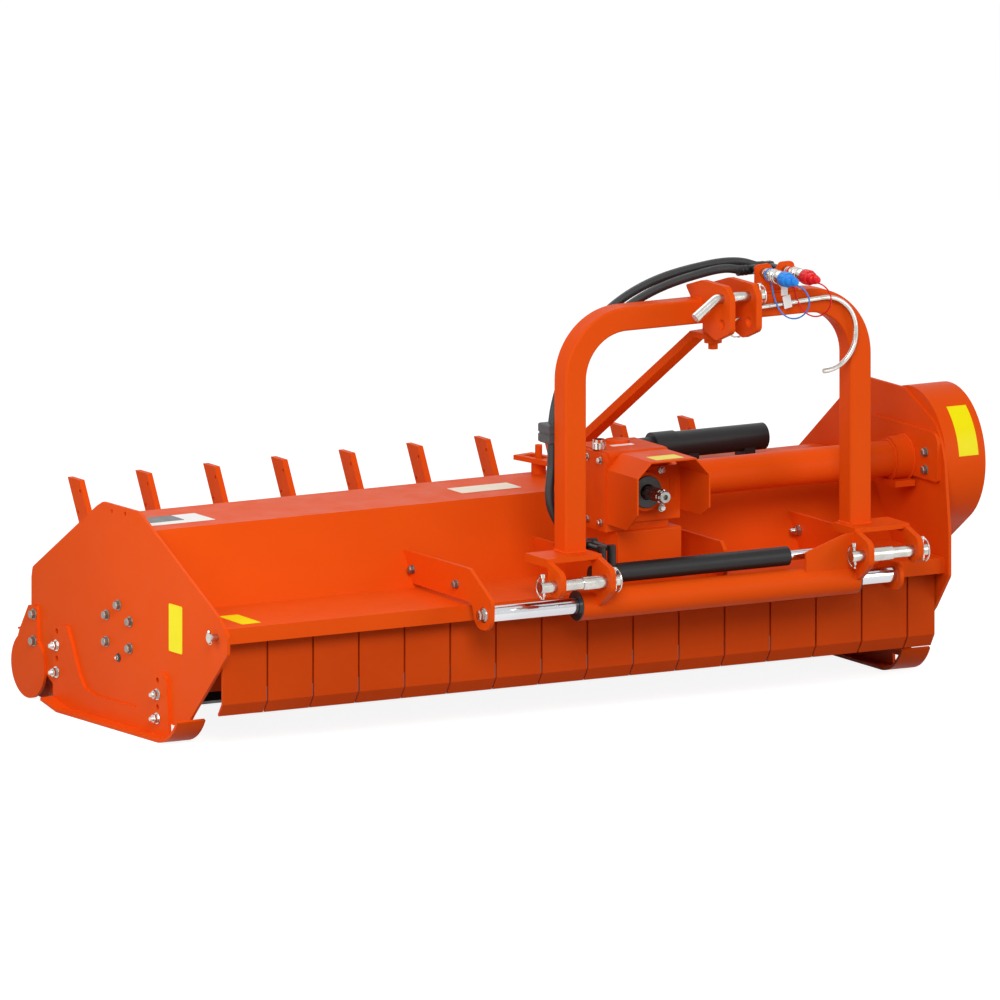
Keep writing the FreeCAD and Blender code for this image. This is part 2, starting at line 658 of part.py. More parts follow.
def link_pins():
    pins = []
    for x0, x1, collar in ((805.0, 1030.0, 925.0), (1690.0, 1905.0, 1740.0)):
        pins.append(cyl_x(x0, x1, LINK_PIN_YZ, LINK_PIN_R))
        pins.append(cyl_x(collar, collar + 65.0, LINK_PIN_YZ, 17.0))
    return pins


def top_link_bracket():
    plates = []
    line = [(-508.0, 1062.0, 4.0), (-585.0, 1085.0, 20.0), (-700.0, 1086.0, 20.0), (-726.0, 1062.0, 20.0)]
    line += [(-726.0, 972.0, 20.0), (-657.0, 945.0, 10.0), (-601.0, 960.0, 5.0)]
    line += [(LEG_FRONT_Y, BEAM_BOTTOM_Z), (LEG_FRONT_Y, BEAM_TOP_Z), (LEG_BACK_Y, BEAM_TOP_Z)]
    for x0 in (HEAD_X - 46, HEAD_X + 30):
        plate = prism_x(line, x0, x0 + 16)
        plates.append(plate.cut(cyl_x(x0 - 1, x0 + 17, (TOP_PIN_YZ[0], 989.0), TOP_PIN_R + 0.5)))
    return plates


def top_link_pin():
    y, z = TOP_PIN_YZ
    points = [(HEAD_X + 72, y, z), (HEAD_X - 62, y, z), (HEAD_X - 122, y, z - 42)]
    return path_tube(points, TOP_PIN_R, 20.0)


def stay_bar():
    """Flat bar from the beam's pivot down to the slotted tongue on the deck."""
    length = math.hypot(STAY_ANCHOR[0] - STAY_PIVOT[0], STAY_ANCHOR[1] - STAY_PIVOT[1])
    high = cyl_z(STAY_TOP_Z - 14, STAY_TOP_Z, 0, 0, 26.0)
    ear = box(0, 60, -25, 25, STAY_TOP_Z - 14, STAY_TOP_Z)
    slope = [(45.0, STAY_TOP_Z - 14), (60.0, STAY_TOP_Z)]
    slope += [(length - 70, STAY_LOW_Z + 8), (length - 85, STAY_LOW_Z - 6)]
    bar = prism_y(slope, -22, 22)
    tongue = box(length - 90, length + 60, -30, 30, STAY_LOW_Z - 6, STAY_LOW_Z + 6)
    body = fuse([high, ear, bar, tongue])
    slot = box(length - 32, length + 42, -16, 16, STAY_LOW_Z - 7, STAY_LOW_Z + 7)
    body = body.cut([slot, cyl_z(STAY_TOP_Z - 15, STAY_TOP_Z + 1, 0, 0, 12.0 + PIN_FIT)])
    angle = math.degrees(math.atan2(STAY_ANCHOR[1] - STAY_PIVOT[1], STAY_ANCHOR[0] - STAY_PIVOT[0]))
    body.rotate(vec(0, 0, 0), vec(0, 0, 1), angle)
    body.translate(vec(STAY_PIVOT[0], STAY_PIVOT[1], 0))
    return body


def stay_pivot():
    x, y = STAY_PIVOT
    pin = cyl_z(STAY_TOP_Z - 40, BEAM_BOTTOM_Z, x, y, 12.0)
    shoulder = cyl_z(STAY_TOP_Z + 1, BEAM_BOTTOM_Z, x, y, 26.0)
    washer = cyl_z(STAY_TOP_Z - 24, STAY_TOP_Z - 15, x, y, 22.0)
    return fuse([pin, shoulder, washer])


def stay_anchor():
    x, y = STAY_ANCHOR
    post = cyl_z(DECK_TOP_Z, STAY_LOW_Z - 7, x, y, 18.5)
    pin = cyl_z(STAY_LOW_Z - 7, STAY_LOW_Z + 36, x, y, 9.0)
    return post.fuse(pin)


def storage_tube():
    yz = (40.0, 553.0)
    wide = cyl_x(1571, 1856, yz, 33.0)
    ring = cyl_x(1538, 1600, yz, 36.0)
    narrow = cyl_x(1431, 1540, yz, 25.0)
    feet = [box(x, x + 30, 15, 65, DECK_TOP_Z, 553) for x in (1630, 1790)]
    return fuse([wide, ring, narrow] + feet)


def shift_cylinder():
    barrel = cyl_x(1005, 1560, CYLINDER_YZ, CYLINDER_R)
    bore = cyl_x(1200, 1561, CYLINDER_YZ, CYLINDER_ROD_R + SLIDE_FIT)
    return fuse([barrel.cut(bore)] + cylinder_pipes())


def shift_rod():
    return cyl_x(1440, RIB_XS[3], CYLINDER_YZ, CYLINDER_ROD_R)


def coupler_bracket():
    foot = box(1480, 1590, -592, -540, BEAM_TOP_Z, BEAM_TOP_Z + 6)
    foot_z = BEAM_TOP_Z + 3.0
    lip_z = COUPLER_Z + 23.0
    dip_z = COUPLER_Z + 7.0
    line = [(1480.0, foot_z), (1480.0, lip_z - 2.0, 10.0), (1520.0, lip_z, 10.0), (1530.0, dip_z, 8.0)]
    line += [(1542.0, dip_z, 8.0), (1550.0, lip_z, 10.0), (1590.0, lip_z, 12.0), (1590.0, foot_z)]
    wall = prism_y(line, -575, -567)
    holes = [cyl_y(-576, -566, x, COUPLER_Z, 13.0) for x in COUPLER_XS]
    return fuse([foot, wall]).cut(holes)


def couplers():
    pieces = []
    for x, y_hose in zip(COUPLER_XS, HOSE_YS):
        body = cyl_y(-640, -567, x, COUPLER_Z, 13.0)
        sleeve = cyl_y(-668, -625, x, COUPLER_Z, 17.0)
        nut = hex_prism((x, -567, COUPLER_Z), (0, 1, 0), 30.0, 16.0)
        tail = cyl_y(-567, y_hose, x, COUPLER_Z, 9.0)
        elbow = box(x - 15, x + 10, y_hose - 11, y_hose + 11, COUPLER_Z - 11, COUPLER_Z + 11)
        cap = cyl_y(-700, -668, x, COUPLER_Z, 19.0)
        nose = cyl_y(-735, -700, x, COUPLER_Z, 12.0)
        pieces.append(fuse([body, sleeve, nut, tail, elbow, cap, nose]))
    return pieces


def soft_tube(points, r):
    """Hose along one smooth curve through its points, level where it starts and where it ends."""
    curve = Part.BSplineCurve()
    curve.interpolate(Points=points, InitialTangent=vec(-1, 0, 0), FinalTangent=vec(1, 0, 0))
    section = Part.Wire([Part.makeCircle(r, points[0], vec(-1, 0, 0))])
    return Part.Wire([curve.toShape()]).makePipeShell([section], True, False)


def hose(x_start, y, arch, x_drop, x_end):
    """Hose from a coupler over the beam, down behind the left leg and round to the cylinder."""
    bend = x_end - x_drop
    line = [(x_start - 15.0, COUPLER_Z)] + arch
    line += [(x_drop + bend * 0.3, HOSE_FOOT_Z + bend * 0.29), (x_end, HOSE_FOOT_Z)]
    return soft_tube([vec(x, y, z) for x, z in line], HOSE_R)


def hoses():
    near = [(1444.0, 1092.0), (1356.0, 1087.0), (1242.0, 1062.0), (1142.0, 1018.0), (1045.0, 940.0)]
    near += [(972.0, 845.0), (939.0, 745.0), (934.0, 640.0), (934.0, 535.0)]
    far = [(1506.0, 1096.0), (1440.0, 1105.0), (1370.0, 1100.0), (1285.0, 1087.0), (1200.0, 1062.0)]
    far += [(1110.0, 1014.0), (1030.0, 935.0), (975.0, 840.0), (951.0, 745.0)]
    far += [(948.0, 640.0), (948.0, 545.0)]
    return [hose(COUPLER_XS[0], HOSE_YS[0], near, 934.0, PORT_XS[0] - 9.0),
            hose(COUPLER_XS[1], HOSE_YS[1], far, 948.0, PORT_XS[1] - 9.0)]


def cylinder_pipes():
    """Elbow blocks at the hose ends, pipes forward to the barrel and bosses down into it."""
    y, z = CYLINDER_YZ
    pipes = []
    for x, y_hose in zip(PORT_XS, HOSE_YS):
        low = HOSE_FOOT_Z - 11.0
        block = box(x - 9.0, x + 13.0, y_hose - 11.0, y_hose + 11.0, low, low + 22.0)
        run = cyl_y(y, y_hose, x, HOSE_FOOT_Z, 8.0)
        drop = cyl_z(z + 10.0, HOSE_FOOT_Z + 10.0, x, y, 11.0)
        pipes.append(fuse([block, run, drop]))
    return pipes


def shaft_hook():
    points = [(HEAD_X + 46.3, -605.0, 1003.5), (1747.0, -605.0, 1019.0)]
    points += [(1747.0, -605.0, 833.0), (1655.0, -605.0, 831.0)]
    return path_tube(points, 6.0, 88.0)


def without(shape, others):
    """Shape with its neighbours' volumes taken out."""
    near = [o for o in others if shape.BoundBox.intersect(o.BoundBox)]
    return shape.cut(near) if near else shape


def compound(shapes):
    """One fused solid where they touch, otherwise a compound of solids."""
    merged = shapes[0].fuse(shapes[1:]) if len(shapes) > 1 else shapes[0]
    return Part.makeCompound(merged.Solids)


def build():
    nodes = {}
    nodes["left_side_plate"] = left_side_plate()
    nodes["right_side_plate"] = right_side_plate()
    nodes["rake"] = rake()
    nodes["deck_shell"] = deck_shell().cut(nodes["rake"])
    nodes["rear_hood"] = without(rear_hood(), [nodes["deck_shell"]])
    nodes["front_deflector"] = without(front_deflector(), [nodes["deck_shell"]])
    last_rib, ribs = deck_ribs()
    nodes["deck_ribs"] = without(compound(ribs + [last_rib]), [nodes["deck_shell"]])
    arms = compound([left_guide_arm(), right_guide_arm()])
    nodes["guide_arms"] = without(arms, [nodes["deck_shell"]])
    nodes["guide_bar"] = guide_bar()
    nodes["flap_rod"] = flap_rod()
    left = skid(-PLATE_T, LEFT_OUT, -45.0, 35.0).cut(skid_holes(-PLATE_T, LEFT_OUT))
    right = skid(RIGHT_OUT, RIGHT_OUT + PLATE_T, RIGHT_IN - 27.0, RIGHT_IN + 53.0)
    nodes["left_skid"] = left
    nodes["right_skid"] = right.cut(skid_holes(RIGHT_OUT, RIGHT_OUT + PLATE_T))
    journal = cyl_x(LEFT_OUT - 3, LEFT_IN + 12, ROLLER_YZ, ROLLER_JOURNAL_R + PIN_FIT)
    nodes["left_roller_bracket"] = roller_bracket(-PLATE_T, LEFT_OUT, LEFT_OUT, LEFT_IN + 12).cut(journal)
    journal = cyl_x(RIGHT_IN - 12, RIGHT_OUT + 3, ROLLER_YZ, ROLLER_JOURNAL_R + PIN_FIT)
    bracket = roller_bracket(RIGHT_OUT, RIGHT_OUT + PLATE_T, RIGHT_IN - 12, RIGHT_OUT)
    nodes["right_roller_bracket"] = bracket.cut(journal)
    plate, heads = bearing_plate()
    nodes["drive_tube"] = compound([plate, drive_tube()])
    nodes["belt_cover"] = belt_cover()
    nodes["gearbox"] = gearbox()
    nodes["gearbox_pedestal"] = without(gearbox_pedestal(), [nodes["deck_shell"], nodes["gearbox"]])
    nodes["pto_shield"] = without(pto_shield(), [nodes["gearbox"]])
    nodes["stay_anchor"] = stay_anchor()
    nodes["storage_tube"] = storage_tube()
    nodes["shift_rod"] = shift_rod()
    fixings = heads + left_plate_bolts() + guide_bolts()
    fixings += skid_bolts(-PLATE_T, -1) + skid_bolts(RIGHT_OUT + PLATE_T, 1)
    nodes["deck_fixings"] = without(compound(fixings), [nodes["guide_bar"]])
    nodes["rotor_tube"] = rotor_tube()
    nodes["hammers"] = compound(hammers())
    nodes["rear_roller"] = rear_roller()
    nodes["pto_shaft"] = pto_shaft()
    nodes["hoop_frame"] = hoop_frame()
    nodes["slide_tube"] = slide_tube()
    nodes["left_clevis"] = left_clevis()
    pins = compound(link_pins())
    nodes["left_clevis"] = nodes["left_clevis"].cut(pins)
    nodes["right_clevis"] = right_clevis().cut(pins)
    nodes["link_pins"] = pins
    nodes["top_link_pin"] = top_link_pin()
    plates = compound(top_link_bracket())
    nodes["top_link_bracket"] = without(plates, [nodes["hoop_frame"], nodes["top_link_pin"]])
    nodes["stay_pivot"] = stay_pivot()
    nodes["coupler_bracket"] = coupler_bracket()
    nodes["couplers"] = compound(couplers())
    nodes["hoses"] = compound(hoses())
    nodes["shaft_hook"] = shaft_hook()
    nodes["shift_cylinder"] = shift_cylinder()
    nodes["stay_bar"] = stay_bar()
    for i, piece in enumerate(flaps()):
        nodes["flap_%02d" % (i + 1)] = piece
    return nodes


def frame_shift(shapes):
    """Move that puts the origin at the middle of the whole machine's base."""
    whole = FreeCAD.BoundBox()
    for shape in shapes:
        whole.add(shape.optimalBoundingBox(False))
    return vec(-(whole.XMin + whole.XMax) / 2.0, -(whole.YMin + whole.YMax) / 2.0, -whole.ZMin)


def main():
    os.makedirs("parts", exist_ok=True)
    nodes = build()
    shift = frame_shift(nodes.values())
    for name, shape in nodes.items():
        shape.translate(shift)
        shape.exportStep(os.path.join("parts", name + ".step"))
        print(name, len(shape.Solids), shape.isValid(), round(shape.Volume / 1e6, 3))
    print("shift", shift)


main()
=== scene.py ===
"""Looks of the side-shift pasture topper: coatings, fasteners, clips, couplers, welds and blank labels."""
import json
import math

import bpy
import numpy as np
from mathutils import Matrix, Vector

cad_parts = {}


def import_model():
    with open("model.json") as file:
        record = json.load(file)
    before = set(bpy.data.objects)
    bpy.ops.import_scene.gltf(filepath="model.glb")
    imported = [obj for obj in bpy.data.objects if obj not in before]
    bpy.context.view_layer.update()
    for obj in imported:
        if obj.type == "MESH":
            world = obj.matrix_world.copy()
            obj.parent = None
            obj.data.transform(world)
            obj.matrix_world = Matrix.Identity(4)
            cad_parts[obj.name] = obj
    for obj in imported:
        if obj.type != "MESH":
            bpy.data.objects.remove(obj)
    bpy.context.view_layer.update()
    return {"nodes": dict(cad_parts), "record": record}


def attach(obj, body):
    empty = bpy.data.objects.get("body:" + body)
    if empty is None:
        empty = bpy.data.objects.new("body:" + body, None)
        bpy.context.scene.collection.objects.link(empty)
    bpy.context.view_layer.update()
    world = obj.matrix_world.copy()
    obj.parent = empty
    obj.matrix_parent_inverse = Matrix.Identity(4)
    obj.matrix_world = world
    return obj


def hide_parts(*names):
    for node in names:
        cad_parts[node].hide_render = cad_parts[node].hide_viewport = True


TAU = 2.0 * math.pi
LEFT, RIGHT = (-1, 0, 0), (1, 0, 0)
FRONT, BACK = (0, -1, 0), (0, 1, 0)
UP = (0, 0, 1)

# Layout, in millimetres from the deck's left plate, as the solids are laid out
SHIFT = np.array((-1059.0, 108.425, 0.0))
RIGHT_OUT = 2051.0
SKID_FACES = (-8.0, RIGHT_OUT + 8.0)
DECK_TOP_Z = 509.0
SHELF_RISE = 4.5 / 262.0
RIB_FACES = (1050.0, 1415.0, 1780.0)
RIB_THICK = 10.0
ARM_FACES = (685.0, 1860.0)
DRIVE_PLATE_X = 2033.0
ROTOR_YZ = (0.0, 233.0)
BEARING_CIRCLE = 66.5
GREASE_POINT = (0.0, 0.0, 168.0)
FLAP_ROD_YZ = (-487.0, 293.0)
FLAP_ROD_CLIPS = ((-20.0, LEFT), (2059.0, RIGHT))
LINK_PIN_YZ = (-680.0, 375.0)
LINK_PIN_CLIPS = ((816.0, LEFT), (1019.0, RIGHT), (1701.0, LEFT), (1894.0, RIGHT))
TOP_PIN_YZ = (-688.0, 1054.0)
TOP_PIN_CLIP_X = 1428.0
BAR_YZ = (-610.0, 307.0)
SLIDE_ENDS = (951.0, 1740.0)
LEG_SIDES = ((930.0, 990.0), (1740.0, 1800.0))
CLEVIS_TOP_Z = 437.0
BRACKET_FOOT_Z = 1038.0
DRIVE_YZ = (-350.0, 545.0)
TUBE_FOOT_X, TUBE_COLLAR_X = 2031.5, 1984.0
PTO_XZ = (1233.0, 545.0)
SHAFT_FOOT_Y, SNOUT_Y = -335.0, -465.0
GEARBOX_LEFT_X, GEARBOX_FRONT_Y, GEARBOX_TOP_Z = 1138.0, -434.0, 643.0
FILLER_XY = (1157.0, -363.0)
FLANGE_X, FLANGE_CIRCLE = 1328.0, 79.0

# Fixings: y and z of each on its face, x and z from the shaft's axis for the guard's
BEARING_DEGREES = (90, 150, 210, 330, 390)
ROLLER_BOLTS = ((403.0, 216.0), (403.0, 149.0))
ARM_BOLTS = ((-262.0, 368.0), (-478.0, 364.0))
DRIVE_PLATE_BOLTS = ((-455.0, 528.0), (-455.0, 572.0))
RIB_BOLT = (-268.0, 370.0)
SKID_STUDS = ((291.0, 155.0), (291.0, 88.0), (-205.0, 108.0), (-205.0, 48.0))
COVER_SCREWS = tuple((y, z) for y in (-405.0, -340.0, -275.0) for z in (466.0, 622.0))
GUARD_SCREWS = ((-60.0, -50.0), (-60.0, 44.0), (60.0, -50.0), (60.0, 44.0))
WASHER_THICK = 2.6

# Weld beads: faces that they follow, and their ends in y, or in y and z
LEG_FACES_Y = (-592.0, -532.0)
LEG_SPAN_Y = (-590.0, -534.0)
BRACKET_FACES_X = (1319.0, 1335.0, 1395.0, 1411.0)
RIB_FOOT = ((-520.0, 320.5), (-275.0, 324.5))
PEDESTAL_SIDES_X = (1165.0, 1345.0)
PEDESTAL_FOOT = (-443.0, 321.5)

# Couplers: x of each one and y of its hose, the same for the hoses' lower ends, and the other places along y
COUPLERS = ((1504.0, -516.0), (1566.0, -490.0))
COUPLER_Z = 1085.0
HOSE_FEET = ((1024.0, -516.0), (1052.0, -490.0))
HOSE_FOOT_Z = 436.0
TAIL_Y, NUT_Y, COUPLER_Y = -556.0, -551.0, -567.0
COLLAR_Y, SLEEVE_Y, CAP_Y, NOSE_Y = -606.0, -619.0, -668.0, -721.0
CAP_COLOURS = ("blue", "red")

# Flat labels: finish, corner, side along, side up and thickness
LABELS = {
    "label_side": ("yellow", (0.0, -248.0, 223.0), (0, -66, 0), (0, 0, 119), 0.5),
    "label_shelf": ("yellow", (67.0, -492.0, 319.0 + 38.0 * SHELF_RISE), (55, 0, 0),
                    (0.0, 117.0, 117.0 * SHELF_RISE), 0.5),
    "label_top_white": ("white", (20.0, -101.0, DECK_TOP_Z), (198, 0, 0), (0, 105, 0), 0.4),
    "label_top_dark": ("dark", (20.0, -66.0, DECK_TOP_Z + 0.4), (130, 0, 0), (0, 70, 0), 0.4),
    "label_top_cream": ("cream", (930.0, -82.0, DECK_TOP_Z), (170, 0, 0), (0, 77, 0), 0.4),
    "label_guard": ("yellow", (1206.0, -560.0, 640.0), (80, 0, 0), (0, 52, 0), 0.4),
    "label_gearbox": ("white", (1203.0, -352.0, GEARBOX_TOP_Z), (62, 0, 0), (0, 20, 0), 0.4),
}

# Meshes: sides of a round cord or bead, and the angle over which an edge is crisp
CORD_SIDES = 8
CRISP_DEG = 32.0

# Camera, in metres: directions of the picture's sides, its width, and its middle from the deck's corner
PICTURE_RIGHT = Vector((0.86603, -0.5, 0.0))
PICTURE_UP = Vector((0.08682, 0.15038, 0.98481))
VIEW_WIDTH = 2.463
VIEW_RIGHT = 0.9394
VIEW_UP = 0.5534
VIEW_AWAY = 9.0
VIEW_REACH = 60.0

# Soft boxes: place, size, power in watts and the point that each one faces
LAMPS = {
    "key": ((-2.3, -4.7, 3.6), (2.6, 2.6), 206.0, (0, 0, 0.4)),
    "fill": ((3.8, -3.4, 1.6), (3.0, 2.4), 68.0, (0, 0, 0.4)),
    "top": ((0.0, 1.8, 4.2), (4.0, 3.0), 63.0, (0, 0, 0.3)),
    "side": ((-2.5, -0.3, 0.9), (1.4, 1.4), 17.0, (-1.06, 0, 0.4)),
}

# Level of the plain light from all round
WORLD_LIGHT = 0.24

# Floor, in metres, and the strip of it under the deck that is whitened less, a painted shadow under the
# machine
FLOOR_HALF = 14.0
FLOOR_Z = -0.001
SHADE_STRIP_SCALE = (1.136, 4.444, 0.0)
SHADE_STRIP_OFFSET = (-0.205, -1.356, 0.0)
PAINTED_SHADE_WHITE, OPEN_WHITE = 0.1, 0.9

# Finishes: the part of a noise's range that does the work, and the mirror part of powder paint
NOISE_SPAN = {"From Min": 0.3, "From Max": 0.7}
PAINT_SPECULAR = 0.05


def site(points):
    """Layout millimetres to scene metres: (p + shift) / 1000."""
    return (np.asarray(points, float) + SHIFT) / 1000.0


def add_camera():
    """Camera without perspective, set right, up and away from the deck's corner."""
    data = bpy.data.cameras.new("camera")
    data.type = "ORTHO"
    data.ortho_scale = VIEW_WIDTH
    data.clip_end = VIEW_REACH
    cam = bpy.data.objects.new("camera", data)
    bpy.context.collection.objects.link(cam)
    back = PICTURE_RIGHT.cross(PICTURE_UP).normalized()
    corner = Vector(site((0.0, 0.0, 0.0)))
    cam.location = corner + PICTURE_RIGHT * VIEW_RIGHT + PICTURE_UP * VIEW_UP + back * VIEW_AWAY
    cam.rotation_mode = "QUATERNION"
    cam.rotation_quaternion = Matrix((PICTURE_RIGHT, PICTURE_UP, back)).transposed().to_quaternion()
    bpy.context.scene.camera = cam


def add_lamp(name, place, size, power, aim):
    """Soft box that faces its aim point."""
    data = bpy.data.lights.new(name, "AREA")
    data.shape = "RECTANGLE"
    data.size, data.size_y = size
    data.energy = power
    lamp = bpy.data.objects.new(name, data)
    bpy.context.collection.objects.link(lamp)
    lamp.location = place
    lamp.rotation_mode = "QUATERNION"
    lamp.rotation_quaternion = (Vector(aim) - Vector(place)).to_track_quat("-Z", "Y")


# Nodes and colours

def linear(code):
    """sRGB hex to linear: c / 12.92 up to 0.04045, else ((c + 0.055) / 1.055) ** 2.4."""
    c = np.array([int(code[i:i + 2], 16) for i in (1, 3, 5)]) / 255.0
    low = c / 12.92
    high = ((c + 0.055) / 1.055) ** 2.4
    return (*np.where(c <= 0.04045, low, high).tolist(), 1.0)


def add_node(tree, kind, values=(), links=(), **settings):
    """Adds one node: its settings, its input values and the links that come into it."""
    node = tree.nodes.new(kind)
    for key, value in settings.items():
        setattr(node, key, value)
    for key, value in dict(values).items():
        node.inputs[key].default_value = value
    for key, output in dict(links).items():
        tree.links.new(output, node.inputs[key])
    return node


def finish(name, colours, drift_mm, rough, grain_mm, relief_mm, metallic=0.0, stretch=(1.0, 1.0, 1.0),
           specular=0.5):
    """Surface whose colour drifts over drift_mm and whose gloss varies, with a fine relief of grain_mm.

    Base = mix(colour 1, colour 2, noise(p / drift)); roughness = range(noise(q / (12 grain)));
    height = relief * noise(q / grain), where q is p times the stretch.
    """
    mat = bpy.data.materials.new(name)
    mat.use_nodes = True
    tree = mat.node_tree
    shader = tree.nodes["Principled BSDF"]
    where = add_node(tree, "ShaderNodeTexCoord").outputs["Object"]
    stretched = add_node(tree, "ShaderNodeMapping", {"Scale": stretch}, {"Vector": where}).outputs["Vector"]
    drift = add_node(tree, "ShaderNodeTexNoise", {"Scale": 1000.0 / drift_mm, "Detail": 4.0},
                     {"Vector": where})
    share = add_node(tree, "ShaderNodeMapRange", NOISE_SPAN, {"Value": drift.outputs["Fac"]})
    tone = add_node(tree, "ShaderNodeMix", {6: linear(colours[0]), 7: linear(colours[1])},
                    {0: share.outputs["Result"]}, data_type="RGBA")
    tree.links.new(tone.outputs[2], shader.inputs["Base Color"])
    cloud = add_node(tree, "ShaderNodeTexNoise", {"Scale": 1000.0 / (grain_mm * 12.0), "Detail": 5.0},
                     {"Vector": stretched})
    gloss = add_node(tree, "ShaderNodeMapRange", {**NOISE_SPAN, "To Min": rough[0], "To Max": rough[1]},
                     {"Value": cloud.outputs["Fac"]})
    tree.links.new(gloss.outputs["Result"], shader.inputs["Roughness"])
    grain = add_node(tree, "ShaderNodeTexNoise", {"Scale": 1000.0 / grain_mm, "Detail": 2.0},
                     {"Vector": stretched})
    relief = add_node(tree, "ShaderNodeBump", {"Strength": 1.0, "Distance": relief_mm / 1000.0},
                      {"Height": grain.outputs["Fac"]})
    tree.links.new(relief.outputs["Normal"], shader.inputs["Normal"])
    shader.inputs["Metallic"].default_value = metallic
    shader.inputs["Specular IOR Level"].default_value = specular
    return mat


def make_finishes():
    """All finishes by short name."""
    looks = {}
    # Steel sheet, polyester powder sprayed and baked: even orange, soft gloss, faint orange peel of about
    # 3 mm, drawn at 5 mm so that it still shows.
    looks["powder"] = finish("powder_coated_steel", ("#E34E0C", "#E7520E"), 380.0, (0.36, 0.46), 5.0, 0.05,
                             specular=PAINT_SPECULAR)
    # The same powder over sand-cast iron: the sand's pitted skin of 2 to 4 mm shows through.
    looks["cast"] = finish("powder_coated_cast_iron", ("#D8480A", "#E24F0D"), 60.0, (0.42, 0.54), 3.5, 0.5,
                           specular=PAINT_SPECULAR)
    # Pressed flaps: powder over mill-rolled sheet, flatter in gloss; its colour is darkened as painted shade
    # from the shelf over the flaps.
    looks["flap"] = finish("powder_coated_steel_with_painted_shade", ("#C8430B", "#CF470D"), 240.0, (0.42, 0.52),
                           6.0, 0.06, specular=PAINT_SPECULAR)
    # Drawn tube, two-part black enamel: near black with a wide soft sheen.
    looks["enamel"] = finish("black_enamelled_tube", ("#181717", "#1E1D1D"), 150.0, (0.34, 0.42), 4.0, 0.04,
                             specular=0.3)
    # Polyethylene tube, extruded: dark grey, soft gloss, fine drag lines along the tube.
    looks["polythene"] = finish("extruded_polythene", ("#1C1C1D", "#232324"), 200.0, (0.40, 0.52), 2.5, 0.08,
                                stretch=(0.1, 1.0, 1.0), specular=0.3)
    # Hydraulic hose cover, extruded rubber wrapped in cloth while it cures: matt with a 2 mm cloth print.
    looks["hose"] = finish("wrapped_rubber", ("#1B1B1C", "#242425"), 90.0, (0.46, 0.60), 2.0, 0.10)
    # Ground and hard-chromed bar: mirror with faint lines left by the grinding wheel round the bar.
    looks["chrome"] = finish("hard_chrome_on_ground_bar", ("#C2C3C7", "#D0D1D4"), 300.0, (0.09, 0.16), 2.5,
                             0.004, metallic=1.0, stretch=(8.0, 1.0, 1.0))
    # Bright zinc over turned steel: silver, slightly milky, uneven gloss from the plating bath.
    looks["zinc"] = finish("bright_zinc_plated_steel", ("#B4B1AB", "#CCCAC4"), 25.0, (0.18, 0.30),
                           1.6, 0.008, metallic=1.0)
    # Zinc-flake dip on bolt heads: dull grey with a warm cast, matt and slightly rough.
    looks["flake"] = finish("zinc_flake_coated_bolt", ("#85807A", "#9A938A"), 12.0, (0.40, 0.55), 1.2, 0.05,
                            metallic=1.0)
    # Machined shaft steel under a film of oil: darker grey, with the fine lines of the turning tool.
    looks["machined"] = finish("oiled_machined_steel", ("#8E8C88", "#A9A7A3"), 14.0, (0.20, 0.32), 1.0, 0.02,
                               metallic=1.0, stretch=(1.0, 6.0, 1.0))
    # Black passivated zinc on the crimped hose sleeves: near black with a dull metal sheen.
    looks["black_zinc"] = finish("black_passivated_zinc", ("#2B2B2D", "#3A3A3C"), 20.0, (0.34, 0.46),
                                 1.4, 0.02, metallic=0.8)
    # Forged hammer, black scale worn grey on its faces.
    looks["forged"] = finish("black_scale_forged_steel", ("#2A2928", "#4A4846"), 30.0, (0.38, 0.60),
                             4.0, 0.25, metallic=0.6)
    # Turned nylon bush and lip seal: black, close and waxy.
    looks["nylon"] = finish("turned_black_nylon", ("#121212", "#1A1A1A"), 30.0, (0.38, 0.48), 1.2, 0.02)
    # Cast vinyl film: flat colour with a faint stipple, slightly glossier than the paint round it.
    looks["yellow"] = finish("yellow_vinyl_film", ("#F4E400", "#F8EA06"), 60.0, (0.28, 0.36), 2.0, 0.01,
                             specular=0.15)
    looks["white"] = finish("white_vinyl_film", ("#EFEDE8", "#F6F4F0"), 60.0, (0.28, 0.36), 2.0, 0.01)
    looks["cream"] = finish("cream_vinyl_film", ("#EBD9BE", "#F3E4CC"), 60.0, (0.30, 0.38), 2.0, 0.01)
    looks["dark"] = finish("dark_vinyl_film", ("#26272A", "#303134"), 60.0, (0.28, 0.36), 2.0, 0.01)
    # Soft PVC dust caps, dip moulded: bright colour, rubbery half gloss.
    looks["red"] = finish("red_moulded_pvc", ("#E2141A", "#EC1C1E"), 20.0, (0.34, 0.44), 2.0, 0.04,
                          specular=0.25)
    looks["blue"] = finish("blue_moulded_pvc", ("#1C84E4", "#2890EE"), 20.0, (0.34, 0.44), 2.0, 0.04,
                           specular=0.25)
    # Glass-filled nylon clamp, moulded: mid grey and matt.
    looks["clamp"] = finish("grey_moulded_nylon", ("#3D4042", "#484B4D"), 25.0, (0.48, 0.58), 1.5, 0.05)
    looks["paper"] = backdrop_paper()
    return looks


